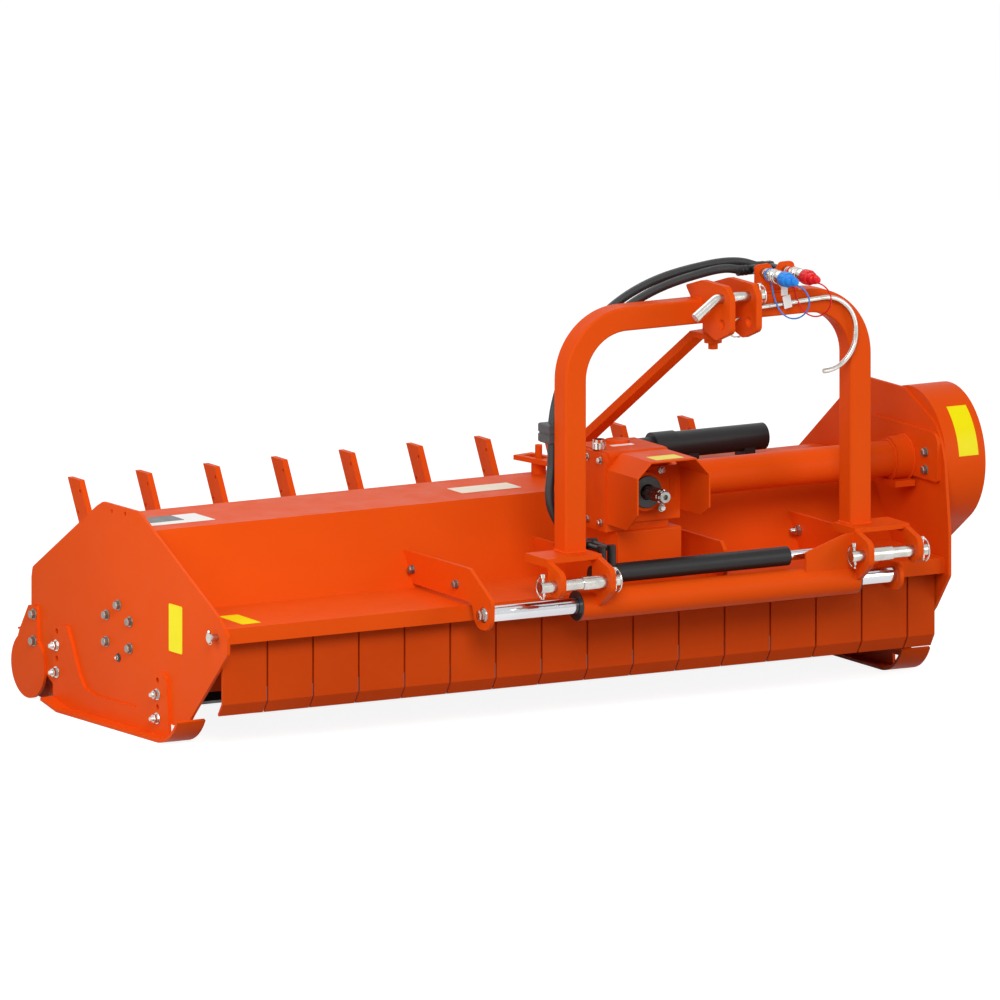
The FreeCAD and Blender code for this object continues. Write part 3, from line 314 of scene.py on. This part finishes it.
def backdrop_paper():
    """Pale matt paper under the machine, with a plain white added for camera, mirror and glass rays.

    The white is full where e > 1 and low where e < 0.9, the strip under the deck behind the flaps,
    with e = max(|1.136 x - 0.205|, |4.444 y - 1.356|) in metres. The low strip is a painted shadow
    under the deck.
    """
    mat = finish("pale_backdrop_paper_with_painted_shade", ("#A9A9A8", "#ACACAB"), 900.0, (0.8, 0.9), 3.0, 0.02, specular=0.0)
    tree = mat.node_tree
    shader = tree.nodes["Principled BSDF"]
    shader.inputs["Emission Color"].default_value = (1.0, 1.0, 1.0, 1.0)
    where = add_node(tree, "ShaderNodeTexCoord")
    middle = add_node(tree, "ShaderNodeMapping", {"Location": SHADE_STRIP_OFFSET, "Scale": SHADE_STRIP_SCALE},
                      {"Vector": where.outputs["Object"]})
    offset = add_node(tree, "ShaderNodeVectorMath", (), {0: middle.outputs["Vector"]}, operation="ABSOLUTE")
    parts = add_node(tree, "ShaderNodeSeparateXYZ", (), {0: offset.outputs["Vector"]})
    shade_strip_reach = add_node(tree, "ShaderNodeMath", (), {0: parts.outputs["X"], 1: parts.outputs["Y"]},
                   operation="MAXIMUM")
    # Painted shadow: the strip under the deck gets the low white, the open floor the full white
    span = {"From Min": 0.9, "From Max": 1.0, "To Min": PAINTED_SHADE_WHITE, "To Max": OPEN_WHITE}
    white = add_node(tree, "ShaderNodeMapRange", span, {"Value": shade_strip_reach.outputs[0]},
                     interpolation_type="SMOOTHSTEP")
    level = add_node(tree, "ShaderNodeMath", (), {0: white.outputs["Result"], 1: seen_ray(tree)},
                     operation="MULTIPLY")
    tree.links.new(level.outputs[0], shader.inputs["Emission Strength"])
    return mat


def seen_ray(tree):
    """1 where a camera, mirror or glass ray looks, 0 where light is gathered."""
    path = add_node(tree, "ShaderNodeLightPath")
    seen = add_node(tree, "ShaderNodeMath", (),
                    {0: path.outputs["Is Camera Ray"], 1: path.outputs["Is Glossy Ray"]}, operation="ADD")
    shown = add_node(tree, "ShaderNodeMath", (),
                     {0: seen.outputs[0], 1: path.outputs["Is Transmission Ray"]}, operation="ADD",
                     use_clamp=True)
    return shown.outputs[0]


def light_world():
    """World: white to the camera and in reflections and glass, a plain soft level as light."""
    world = bpy.data.worlds.new("studio")
    bpy.context.scene.world = world
    world.use_nodes = True
    tree = world.node_tree
    back = tree.nodes["Background"]
    back.inputs["Color"].default_value = (1.0, 1.0, 1.0, 1.0)
    level = add_node(tree, "ShaderNodeMapRange", {"To Min": WORLD_LIGHT, "To Max": 1.0},
                     {"Value": seen_ray(tree)})
    tree.links.new(level.outputs["Result"], back.inputs["Strength"])


# Surfaces: each gives points, quads and triangles, in layout millimetres

def unit(v):
    """Direction of a vector, or of each row."""
    v = np.asarray(v, float)
    return v / np.linalg.norm(v, axis=-1, keepdims=True)


def across(axis):
    """Two unit directions u, v with u x v = axis."""
    w = unit(axis)
    side = np.array((0.0, 0.0, 1.0)) if abs(w[2]) < 0.9 else np.array((1.0, 0.0, 0.0))
    u = unit(np.cross(side, w))
    return u, np.cross(w, u)


def spokes(axis, count, phase=0.0):
    """Directions cos a u + sin a v round an axis, a = 2 pi j / count + phase."""
    u, v = across(axis)
    a = TAU * np.arange(count) / count + phase
    return np.cos(a)[:, None] * u + np.sin(a)[:, None] * v


def skin(rings):
    """Quads between ring i and i + 1, and each end closed to the middle point of its ring."""
    rows, cols = rings.shape[:2]
    points = np.vstack([rings.reshape(-1, 3), rings[0].mean(0), rings[-1].mean(0)])
    i, j = np.meshgrid(np.arange(rows - 1), np.arange(cols), indexing="ij")
    a = i * cols + j
    b = i * cols + (j + 1) % cols
    quads = np.stack([a, b, b + cols, a + cols], -1).reshape(-1, 4)
    j = np.arange(cols)
    after = (j + 1) % cols
    low = np.stack([after, j, np.full(cols, rows * cols)], -1)
    high = np.stack([(rows - 1) * cols + j, (rows - 1) * cols + after, np.full(cols, rows * cols + 1)], -1)
    return points, quads, np.vstack([low, high])


def loop_skin(rings):
    """Quads between ring i and i + 1, the last ring joined to the first."""
    rows, cols = rings.shape[:2]
    i, j = np.meshgrid(np.arange(rows), np.arange(cols), indexing="ij")
    after_i = (i + 1) % rows
    after_j = (j + 1) % cols
    quads = np.stack([i * cols + j, i * cols + after_j, after_i * cols + after_j, after_i * cols + j], -1)
    return rings.reshape(-1, 3), quads.reshape(-1, 4), np.zeros((0, 3), int)


def turned(base, axis, profile, sides, phase=0.0):
    """Turned shape: P(t, a) = base + s(t) axis + r(t) (cos a u + sin a v)."""
    s, r = np.asarray(profile, float).T
    rings = (np.asarray(base, float) + s[:, None, None] * unit(axis)
             + r[:, None, None] * spokes(axis, sides, phase))
    return skin(rings)


def fluted(base, axis, s, r):
    """Shape with a radius for each step and angle: P(i, j) = base + s_i axis + r_ij spoke_j."""
    s = np.asarray(s, float)
    rings = (np.asarray(base, float) + s[:, None, None] * unit(axis)
             + r[:, :, None] * spokes(axis, r.shape[1])[None])
    return skin(rings)


def bored_ring(base, axis, length, r_out, r_in):
    """Ring with a bore: the loop (s, r) goes out along the outside and back along the bore."""
    loop = np.array([(0, r_out - 1), (1, r_out), (length - 1, r_out), (length, r_out - 1),
                     (length, r_in + 2), (length - 2, r_in), (0, r_in)], float)
    rings = (np.asarray(base, float) + loop[None, :, 0, None] * unit(axis)
             + loop[None, :, 1, None] * spokes(axis, 40)[:, None, :])
    return loop_skin(rings[::-1])


def carried(path, radius, normal, closed=False):
    """Round section along a path: P(s, a) = c(s) + r(s) (cos a n + sin a (t x n)), n across its bends."""
    path = np.asarray(path, float)
    if closed:
        tangent = unit(np.roll(path, -1, 0) - np.roll(path, 1, 0))
    else:
        tangent = unit(np.gradient(path, axis=0))
    n = unit(np.cross(tangent, np.cross(np.broadcast_to(unit(normal), path.shape), tangent)))
    side = np.cross(tangent, n)
    a = TAU * np.arange(CORD_SIDES) / CORD_SIDES
    r = np.broadcast_to(np.asarray(radius, float), (len(path),))[:, None, None]
    rim = np.cos(a)[None, :, None] * n[:, None, :] + np.sin(a)[None, :, None] * side[:, None, :]
    rings = path[:, None, :] + r * rim
    return loop_skin(rings) if closed else skin(rings)


def arc(centre, r, start_deg, end_deg, count, e0, e1):
    """Arc points c + r (cos a e0 + sin a e1)."""
    a = np.radians(np.linspace(start_deg, end_deg, count))[:, None]
    e0, e1 = np.asarray(e0, float), np.asarray(e1, float)
    return np.asarray(centre, float) + r * (np.cos(a) * e0 + np.sin(a) * e1)


def rounded_plate(corner, along, up, lift, r=4.0, foot=0.2):
    """Flat film with rounded corners, raised from foot to foot + lift.

    Its outline is r (cos a, sin a) round the four corners' centres.
    """
    along, up = np.asarray(along, float), np.asarray(up, float)
    size = np.array((np.linalg.norm(along), np.linalg.norm(up)))
    quarter = np.arange(-90.0, 1.0, 30.0)
    a = np.radians(np.concatenate([quarter + turn for turn in (0.0, 90.0, 180.0, 270.0)]))
    sign = np.repeat([[1, 0], [1, 1], [0, 1], [0, 0]], len(quarter), 0)
    centre = np.where(sign == 1, size - r, r)
    flat = centre + r * np.stack([np.cos(a), np.sin(a)], -1)
    outline = np.asarray(corner, float) + flat[:, :1] * unit(along) + flat[:, 1:] * unit(up)
    n = unit(np.cross(along, up))
    return skin(np.stack([outline + n * foot, outline + n * (foot + lift)]))


def join(parts):
    """One list of points and faces from several, each part's numbers moved past those before it."""
    starts = np.cumsum([0] + [len(p[0]) for p in parts[:-1]])
    points = np.vstack([p[0] for p in parts])
    quads = np.vstack([p[1] + s for p, s in zip(parts, starts)])
    tris = np.vstack([p[2] + s for p, s in zip(parts, starts)])
    return points, quads, tris


def add_piece(name, parts, mat, body):
    """One object from all its parts, with crisp edges where it turns sharply, that rides on its body."""
    points, quads, tris = join(parts)
    mesh = bpy.data.meshes.new(name)
    mesh.from_pydata(site(points).tolist(), [], quads.tolist() + tris.tolist())
    mesh.shade_smooth()
    mesh.set_sharp_from_angle(angle=math.radians(CRISP_DEG))
    mesh.materials.append(mat)
    obj = bpy.data.objects.new(name, mesh)
    bpy.context.collection.objects.link(obj)
    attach(obj, body)
    return obj


# Fasteners

def washer(base, axis, r):
    """Flat washer, its edges broken by 0.4 mm."""
    t = WASHER_THICK
    return turned(base, axis, [(0, r - 0.4), (0.4, r), (t - 0.4, r), (t, r - 0.4)], 28)


def hexagon(base, axis, across_flats, height, phase=0.0):
    """Six-sided head: r = across / sqrt 3, drawn in to 0.96 r at its foot and 0.88 r at its crown."""
    r = across_flats / math.sqrt(3.0)
    profile = [(0, r * 0.96), (height * 0.08, r), (height * 0.86, r), (height, r * 0.88)]
    return turned(base, axis, profile, 6, phase)


def head_bolt(base, axis, size, washer_r, phase):
    """Washer, hexagon head and the shallow dish in its crown."""
    base, w = np.asarray(base, float), unit(axis)
    head = hexagon(base + w * WASHER_THICK, axis, size, size * 0.5, phase)
    crown = [(-0.2, size * 0.40), (0.5, size * 0.38), (0.6, size * 0.30)]
    dish = turned(base + w * (WASHER_THICK + size * 0.5), axis, crown, 24)
    return [washer(base, axis, washer_r), head, dish]


def stud_bolt(base, axis, reach, phase):
    """Washer, nut and stub of thread: r(s) = 6 + 0.35 cos(2 pi s / 1.75)."""
    base, w = np.asarray(base, float), unit(axis)
    s = np.arange(13.0, reach - 1.4, 0.44)
    thread = np.stack([s, 6.0 + 0.35 * np.cos(TAU * s / 1.75)], -1)
    end = np.array([(reach - 1.2, 5.7), (reach, 4.8)])
    stub = turned(base, axis, np.vstack([thread, end]), 18)
    return [washer(base, axis, 14.5), hexagon(base + w * WASHER_THICK, axis, 20.0, 11.0, phase), stub]


def bolt_row(spots, size, washer_r, turn):
    """Heads that face left, each one turned a little further than the one before it."""
    parts = []
    for i, spot in enumerate(spots):
        parts += head_bolt(spot, LEFT, size, washer_r, turn * i)
    return parts


def plate_bolts():
    """Dull heads: rotor bearing, left roller bracket, left guide arm, drive plate and the first rib."""
    y, z = ROTOR_YZ
    angles = [math.radians(deg) for deg in BEARING_DEGREES]
    bearing = [(0.0, y + BEARING_CIRCLE * math.cos(a), z + BEARING_CIRCLE * math.sin(a)) for a in angles]
    parts = bolt_row(bearing, 19.0, 13.5, 0.3)
    parts += bolt_row([(SKID_FACES[0], *yz) for yz in ROLLER_BOLTS], 19.0, 13.5, 0.5)
    parts += bolt_row([(ARM_FACES[0], *yz) for yz in ARM_BOLTS], 17.0, 11.5, 0.4)
    parts += bolt_row([(DRIVE_PLATE_X, *yz) for yz in DRIVE_PLATE_BOLTS], 17.0, 12.0, 0.7)
    parts += head_bolt((RIB_FACES[0], *RIB_BOLT), LEFT, 17.0, 11.5, 0.2)
    return parts


def bright_bolts():
    """Bright studs and nuts of the skids and the last rib, and the end bolts of the guide bar."""
    parts = []
    for i, yz in enumerate(SKID_STUDS):
        parts += stud_bolt((SKID_FACES[0], *yz), LEFT, 22.0, 0.35 * i)
        parts += stud_bolt((SKID_FACES[1], *yz), RIGHT, 22.0, 0.25 * i)
    parts += stud_bolt((RIB_FACES[2], *RIB_BOLT), LEFT, 26.0, 0.2)
    parts += head_bolt((ARM_FACES[0], *BAR_YZ), LEFT, 24.0, 17.0, 0.3)
    parts += head_bolt((ARM_FACES[1], *BAR_YZ), RIGHT, 24.0, 16.0, 0.1)
    return parts


def linch_pin(spot, out, peg_axis, pin_r, ring_r):
    """Headed peg through the pin's end and the sprung half ring over it, both scaled by pin_r / 14."""
    spot, a, c = np.asarray(spot, float), unit(out), unit(peg_axis)
    k = pin_r / 14.0
    reach = pin_r + 8.0 * k
    profile = np.array([(0, 2.6), (2, 4.2), (0, 4.2), (1, 6.6), (9, 6.6), (11, 5.2)]) * k
    profile[2:, 0] += 2 * reach
    peg = turned(spot - c * reach, c, profile, 16)
    ring = arc(spot + a * 3.0 * k, ring_r, -96, 96, 40, np.cross(a, c), c)
    ends = np.stack([spot - c * reach * 0.98, ring[0]])
    return [peg, carried(ring, 2.1 * k, a), carried(ends, 2.1 * k, a)]


def pin_clips():
    """Linch pins of the four link-pin ends."""
    parts = []
    for x, out in LINK_PIN_CLIPS:
        parts += linch_pin((x, *LINK_PIN_YZ), out, (0.0, 0.12, 0.99), 14.0, 28.0)
    return parts


def rod_clips():
    """Smaller linch pins on the flap rod's two ends."""
    parts = []
    for x, out in FLAP_ROD_CLIPS:
        parts += linch_pin((x, *FLAP_ROD_YZ), out, (0.0, 0.5, 0.87), 8.0, 16.0)
    return parts


def top_pin_ring():
    """Big split ring that hangs from the top-link pin's end, and the linch pin it belongs to."""
    clip = linch_pin((TOP_PIN_CLIP_X, *TOP_PIN_YZ), RIGHT, (0.0, 0.2, 0.98), 12.5, 24.0)
    ring = arc((1395.0, -640.0, 968.0), 27.0, 0, 353, 60, RIGHT, (0, -0.35, 0.94))
    return clip + [carried(ring, 2.3, (0, 0.94, 0.35), True)]


# Hydraulics

def coupler_bodies():
    """Plated quick couplers: back nut, turned body with two lock rings, and the knurled sleeve."""
    body = [(0, 12.6), (4, 13.0), (20, 13.0), (22, 11.6), (28, 11.6), (30, 13.0), (48, 13.0), (52, 14.5),
            (58, 14.5)]
    lock = [(0, 13.0), (0.6, 15.4), (3.4, 15.4), (4, 13.0)]
    parts = []
    for x, _ in COUPLERS:
        parts.append(hexagon((x, NUT_Y, COUPLER_Z), FRONT, 30.0, 16.0))
        parts.append(turned((x, COUPLER_Y, COUPLER_Z), FRONT, body, 32))
        for s in (34.0, 42.0):
            parts.append(turned((x, COUPLER_Y - s, COUPLER_Z), FRONT, lock, 32))
        parts.append(knurled_sleeve(x))
    return parts


def knurled_sleeve(x):
    """Sleeve with a corrugated grip: r(s, a) = r0(s) + 0.5 cos(30 a) where it is gripped."""
    s = [0, 1.0, 3.0, 11.0, 13.0, 14.0, 17.0, 18.0, 24.0, 25.0, 28.0, 29.0, 41.0, 50.0]
    r0 = np.array([14.0, 16.4, 16.4, 16.4, 16.4, 14.8, 14.8, 16.9, 16.9, 14.8, 14.8, 16.2, 16.2, 14.0])
    grip = np.array([0, 0, 0.5, 0.5, 0, 0, 0, 0, 0, 0, 0, 0, 0, 0])
    a = TAU * np.arange(120) / 120
    return fluted((x, SLEEVE_Y, COUPLER_Z), FRONT, s, r0[:, None] + grip[:, None] * np.cos(30 * a))


def dust_cap(x):
    """Dust cap: ribbed skirt r(s, a) = r0(s) + rib(s) max(0, cos 12 a), a waist and a round nose."""
    s = [0, 1.5, 4, 9, 18, 26, 28, 30, 33, 42, 45, 47, 56, 58, 62, 65, 66.5]
    r0 = np.array([17.0, 18.6, 18.9, 18.7, 18.5, 18.2, 17.6, 15.0, 14.6, 13.6, 11.6, 8.6, 8.0, 9.4, 9.2,
                   7.8, 5.0])
    rib = np.array([0, 0, 0, 0.8, 0.9, 0.8, 0, 0, 0, 0, 0, 0, 0, 0, 0, 0, 0])
    a = TAU * np.arange(96) / 96
    r = r0[:, None] + rib[:, None] * np.maximum(0.0, np.cos(12 * a))
    return fluted((x, CAP_Y, COUPLER_Z), FRONT, s, r)


def coupler_elbows():
    """Tail of each coupler behind its plate, and the corner block that the hose screws into."""
    parts = []
    for x, y_hose in COUPLERS:
        length = y_hose - 6.0 - TAIL_Y
        parts.append(turned((x, TAIL_Y, COUPLER_Z), BACK, [(0, 9.0), (length, 9.0)], 24))
        parts.append(elbow_block((x, y_hose, COUPLER_Z)))
    return parts


def elbow_block(centre):
    """Forged corner block from x - 15 to x + 10, its four long edges broken by 3 mm."""
    x, y, z = centre
    half, edge = 11.0, 3.0
    rim = np.array([(half, half - edge), (half - edge, half)])
    outline = np.concatenate([rim, rim[::-1] * (-1, 1), -rim, rim[::-1] * (1, -1)])
    s = np.array((-15.0, -14.0, 9.0, 10.0))
    k = np.array((0.92, 1.0, 1.0, 0.92))
    rings = np.empty((4, 8, 3))
    rings[:, :, 0] = x + s[:, None]
    rings[:, :, 1] = y + k[:, None] * outline[:, 0]
    rings[:, :, 2] = z + k[:, None] * outline[:, 1]
    return skin(rings)


def lanyard(x, drop, swing):
    """Moulded strap from the cap's nose down in a bow and back to the collar behind it, with both eyes.

    With h = sin(pi t), w = sin(2 pi t), y0 the nose and z0 9 mm under the coupler's axis:
    c(t) = (x + swing (h + 0.3 w), y0 + 113 t - 22 w, z0 - 5 t - drop (h^1.4 - 0.18 w)).
    """
    t = np.linspace(0.0, 1.0, 60)
    half, whole = np.sin(math.pi * t), np.sin(TAU * t)
    sag = np.maximum(half, 0.0) ** 1.4 - 0.18 * whole
    bow = np.stack([x + swing * (half + 0.3 * whole), NOSE_Y + 113.0 * t - 22.0 * whole,
                    COUPLER_Z - 9.0 - 5.0 * t - drop * sag], -1)
    strap = carried(bow, 1.9, (1, 0, 0.02))
    collar = carried(arc((x, COLLAR_Y, COUPLER_Z), 15.2, 0, 354, 48, RIGHT, UP), 2.0, BACK, True)
    eye = carried(arc((x, NOSE_Y, COUPLER_Z), 9.6, 0, 354, 40, RIGHT, UP), 2.0, BACK, True)
    return [strap, collar, eye]


def tag():
    """Blank white tag on a short strap: two plates that overlap, the lower one turned by 12 degrees."""
    lean = math.radians(12.0)
    along = np.array((math.cos(lean), 0.0, math.sin(lean)))
    up = np.array((-math.sin(lean), 0.0, math.cos(lean)))
    strap = rounded_plate((1536.0, -609.0, 1046.0), (7.0, 0, 0), (-22.0, 0, 26.0), 0.8, 1.5)
    upper = rounded_plate((1531.0, -611.0, 1031.0), (19.0, 0, 0), (0, 0, 25.0), 0.8, 1.5)
    lower = rounded_plate((1540.0, -613.0, 997.0), along * 22.0, up * 32.0, 0.8, 1.5)
    return [strap, upper, lower]


def hose_ferrules():
    """Crimped sleeves at the hose ends: r(s) steps in at three crimps."""
    crimp = [(0, 11.4), (1, 13.2), (6, 13.2), (7, 12.4), (10, 12.4), (11, 13.2), (16, 13.2), (17, 12.4),
             (20, 12.4), (21, 13.2), (27, 13.2), (28, 11.4)]
    high = [turned((x - 15.0, y, COUPLER_Z), LEFT, crimp, 28) for x, y in COUPLERS]
    low = [turned((x, y, HOSE_FOOT_Z), LEFT, crimp, 28) for x, y in HOSE_FEET]
    return high + low


def hose_clamp():
    """Moulded two-part clamp on the leg's back: a rectangle drawn in by inset(z) at ends and joint."""
    outline = np.array([(918.0, -532.0), (966.0, -532.0), (966.0, -476.0), (918.0, -476.0)])
    z = np.array((700.0, 703.0, 721.0, 722.0, 726.0, 727.0, 745.0, 748.0))
    inset = np.array((3.0, 0.0, 0.0, 2.0, 2.0, 0.0, 0.0, 3.0))
    toward = np.sign(outline.mean(0) - outline)
    rings = outline[None] + inset[:, None, None] * toward[None]
    return [skin(np.concatenate([rings, np.broadcast_to(z[:, None, None], (8, 4, 1))], -1))]


def slide_bushes():
    """Nylon bushes in the slide tube's ends: a collar proud of the tube with a chamfered mouth."""
    return [bored_ring((x, *BAR_YZ), out, 3.5, 38.0, 20.6) for x, out in zip(SLIDE_ENDS, (LEFT, RIGHT))]


# Gearbox and shaft

def splined_shaft():
    """Six-spline stub with its lock groove and centre hole.

    r(a) = 14.9 + 2.55 tooth(a) in the splines, tooth = 0.5 + 3.2 cos 6 a held between 0 and 1.
    """
    x, z = PTO_XZ
    a = TAU * np.arange(144) / 144
    cut = 14.9 + 2.55 * np.clip(0.5 + 3.2 * np.cos(6 * a), 0.0, 1.0)
    rows = [(0, 17.45), (120, 17.45), (123, 17.45), (124, cut), (205, cut), (206, 14.8), (213, 14.8),
            (214, cut), (217.5, cut), (220, 14.8), (223, 14.8), (224, 13.8), (224, 6.6), (212, 5.0)]
    r = np.stack([np.broadcast_to(radius, a.shape) for _, radius in rows])
    return [fluted((x, SHAFT_FOOT_Y, z), FRONT, [s for s, _ in rows], r)]


def shaft_seal():
    """Dust ring in front of the gearbox's snout, bored for the shaft."""
    x, z = PTO_XZ
    return [bored_ring((x, SNOUT_Y, z), FRONT, 6.0, 40.0, 18.2)]


def gearbox_caps():
    """Zinc filler plug with its hexagon, and the screws of the gearbox's cover, flange and guard."""
    plug = [(0, 15.5), (1, 16.5), (16, 16.5), (17, 15.0)]
    parts = [hexagon((*FILLER_XY, GEARBOX_TOP_Z + 17.0), UP, 27.0, 8.0)]
    parts.append(turned((*FILLER_XY, GEARBOX_TOP_Z), UP, plug, 28))
    for yz in COVER_SCREWS:
        parts += head_bolt((GEARBOX_LEFT_X, *yz), LEFT, 14.0, 9.5, 0.2)
    y, z = DRIVE_YZ
    for deg in range(30, 390, 60):
        a = math.radians(deg)
        spot = (FLANGE_X, y + FLANGE_CIRCLE * math.cos(a), z + FLANGE_CIRCLE * math.sin(a))
        parts.append(hexagon(spot, RIGHT, 13.0, 6.0))
    x, z = PTO_XZ
    for x_off, z_off in GUARD_SCREWS:
        parts += head_bolt((x + x_off, GEARBOX_FRONT_Y, z + z_off), FRONT, 14.0, 10.0, 0.3)
    return parts


def grease_nipple():
    """Bright turned nipple: broad foot, waisted neck and round head."""
    nipple = [(0, 5.4), (4, 5.4), (5, 3.0), (7, 3.0), (8, 4.0), (10, 4.0), (11, 2.6)]
    return [turned(GREASE_POINT, LEFT, nipple, 20)]


def grease_collar():
    """Flat rubber ring round the nipple, its edges broken."""
    return [bored_ring(GREASE_POINT, LEFT, 2.6, 11.0, 6.0)]


# Weld beads

def ripple(r, mm):
    """Radius of a bead along its length: r (1 + 0.10 cos(2 pi s / 4)), s in millimetres."""
    return r * (1.0 + 0.10 * np.cos(TAU * mm / 4.0))


def weld(start, end, normal, r):
    """Straight fillet bead: r(t) = ripple(t) min(1, 0.4 + 20 min(t, 1 - t)), so its ends are drawn in."""
    start, end = np.asarray(start, float), np.asarray(end, float)
    length = np.linalg.norm(end - start)
    t = np.linspace(0.0, 1.0, max(6, int(length)))
    path = start + (end - start) * t[:, None]
    swell = ripple(r, t * length) * np.minimum(1.0, 0.4 + 20.0 * np.minimum(t, 1 - t))
    return carried(path, swell, normal)


def ring_weld(centre, axis, radius, r):
    """Fillet bead round a tube's foot: r = ripple(s), with a point for each millimetre."""
    path = arc(centre, radius, 0, 358, int(radius * 6.3), *across(axis))
    return carried(path, ripple(r, np.arange(len(path))), axis, True)


def head_welds():
    """Beads where the hoop's legs stand on the clevis plates, and along the top bracket's plates."""
    parts = []
    y0, y1 = LEG_SPAN_Y
    for x0, x1 in LEG_SIDES:
        for y in LEG_FACES_Y:
            parts.append(weld((x0, y, CLEVIS_TOP_Z), (x1, y, CLEVIS_TOP_Z), UP, 3.4))
        for x in (x0, x1):
            parts.append(weld((x, y0, CLEVIS_TOP_Z), (x, y1, CLEVIS_TOP_Z), UP, 3.4))
    for x in BRACKET_FACES_X:
        parts.append(weld((x, y0, BRACKET_FOOT_Z), (x, y1, BRACKET_FOOT_Z), UP, 2.6))
    return parts


def deck_welds():
    """Beads along the ribs' feet, round the drive tube and its collar, and along the pedestal."""
    parts = []
    for face in RIB_FACES:
        for x in (face, face + RIB_THICK):
            parts.append(weld((x, *RIB_FOOT[0]), (x, *RIB_FOOT[1]), UP, 2.6))
    parts.append(ring_weld((TUBE_FOOT_X, *DRIVE_YZ), RIGHT, 54.5, 3.2))
    parts.append(ring_weld((TUBE_COLLAR_X, *DRIVE_YZ), RIGHT, 46.0, 3.0))
    x0, x1 = PEDESTAL_SIDES_X
    parts.append(weld((x0, *PEDESTAL_FOOT), (x1, *PEDESTAL_FOOT), UP, 3.0))
    return parts


# Labels, all blank

def rim_label():
    """Film on the cover's round edge: P(f, x) = drive centre + r (-cos f, sin f), f from 7 to 51 degrees."""
    f = np.radians(np.linspace(7.0, 51.0, 28))
    y, z = DRIVE_YZ
    low, high = RIGHT_OUT + 37.0, RIGHT_OUT + 92.0
    xs = np.array((low, low, high, high))
    r = np.array((175.15, 175.6, 175.6, 175.15))
    rings = np.stack([np.broadcast_to(xs, (len(f), 4)), y - r * np.cos(f)[:, None],
                      z + r * np.sin(f)[:, None]], -1)
    return [skin(rings[::-1])]


def add_labels(looks):
    """Flat films from their table, and the one that wraps the cover."""
    for name, (film, corner, along, up, lift) in LABELS.items():
        add_piece(name, [rounded_plate(corner, along, up, lift)], looks[film], "deck")
    add_piece("label_cover", rim_label(), looks["yellow"], "deck")


# The machine

def dress_nodes(frame, looks):
    """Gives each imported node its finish, by its slot or by its name."""
    by_slot = {"orange_paint": "powder", "black_paint": "enamel", "black_plastic": "polythene",
               "black_rubber": "hose", "bright_chrome": "chrome", "zinc_steel": "zinc",
               "bare_steel": "machined"}
    special = {"gearbox": "cast", "hammers": "forged", "shaft_hook": "zinc", "stay_pivot": "powder"}
    slots = {s["node"]: s["material_slot"] for s in frame["record"]["subparts"]}
    for name, obj in frame["nodes"].items():
        # Flaps take the powder whose colour is darkened as painted shade
        is_flap = name.startswith("flap_") and name != "flap_rod"
        key = special.get(name, "flap" if is_flap else by_slot[slots[name]])
        obj.data.materials.clear()
        obj.data.materials.append(looks[key])


def add_floor(looks):
    """Square sheet of backdrop paper just under the skids."""
    mesh = bpy.data.meshes.new("floor")
    s, z = FLOOR_HALF, FLOOR_Z
    mesh.from_pydata([(-s, -s, z), (s, -s, z), (s, s, z), (-s, s, z)], [], [(0, 1, 2, 3)])
    mesh.materials.append(looks["paper"])
    floor = bpy.data.objects.new("floor", mesh)
    bpy.context.collection.objects.link(floor)


def add_details(looks):
    """Fasteners, hydraulics, shaft and welds; three of them stand in for plain solids."""
    bolts = add_piece("plate_bolts", plate_bolts(), looks["flake"], "deck")
    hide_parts("deck_fixings")
    add_piece("bright_bolts", bright_bolts(), looks["zinc"], "deck")
    add_piece("grease_nipple", grease_nipple(), looks["zinc"], "deck")
    add_piece("grease_collar", grease_collar(), looks["nylon"], "deck")
    add_piece("link_pin_clips", pin_clips(), looks["zinc"], "headstock")
    add_piece("flap_rod_clips", rod_clips(), looks["zinc"], "deck")
    add_piece("top_pin_ring", top_pin_ring(), looks["zinc"], "headstock")
    bodies = add_piece("coupler_bodies", coupler_bodies(), looks["zinc"], "headstock")
    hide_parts("couplers")
    add_piece("coupler_elbows", coupler_elbows(), looks["black_zinc"], "headstock")
    for (x, _), colour in zip(COUPLERS, CAP_COLOURS):
        add_piece("dust_cap_" + colour, [dust_cap(x)], looks[colour], "headstock")
        add_piece("lanyard_" + colour, lanyard(x, drop=91.0, swing=47.0), looks[colour], "headstock")
    add_piece("coupler_tag", tag(), looks["white"], "headstock")
    add_piece("hose_ferrules", hose_ferrules(), looks["black_zinc"], "headstock")
    add_piece("hose_clamp", hose_clamp(), looks["clamp"], "headstock")
    add_piece("slide_bushes", slide_bushes(), looks["nylon"], "headstock")
    shaft = add_piece("splined_shaft", splined_shaft(), looks["machined"], "pto")
    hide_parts("pto_shaft")
    add_piece("shaft_seal", shaft_seal(), looks["nylon"], "deck")
    add_piece("gearbox_caps", gearbox_caps(), looks["zinc"], "deck")
    add_piece("head_welds", head_welds(), looks["powder"], "headstock")
    add_piece("deck_welds", deck_welds(), looks["powder"], "deck")


def main():
    bpy.context.scene.view_settings.view_transform = "Standard"
    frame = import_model()
    looks = make_finishes()
    add_camera()
    light_world()
    for name, lamp in LAMPS.items():
        add_lamp(name, *lamp)
    add_floor(looks)
    dress_nodes(frame, looks)
    add_details(looks)
    add_labels(looks)


main()
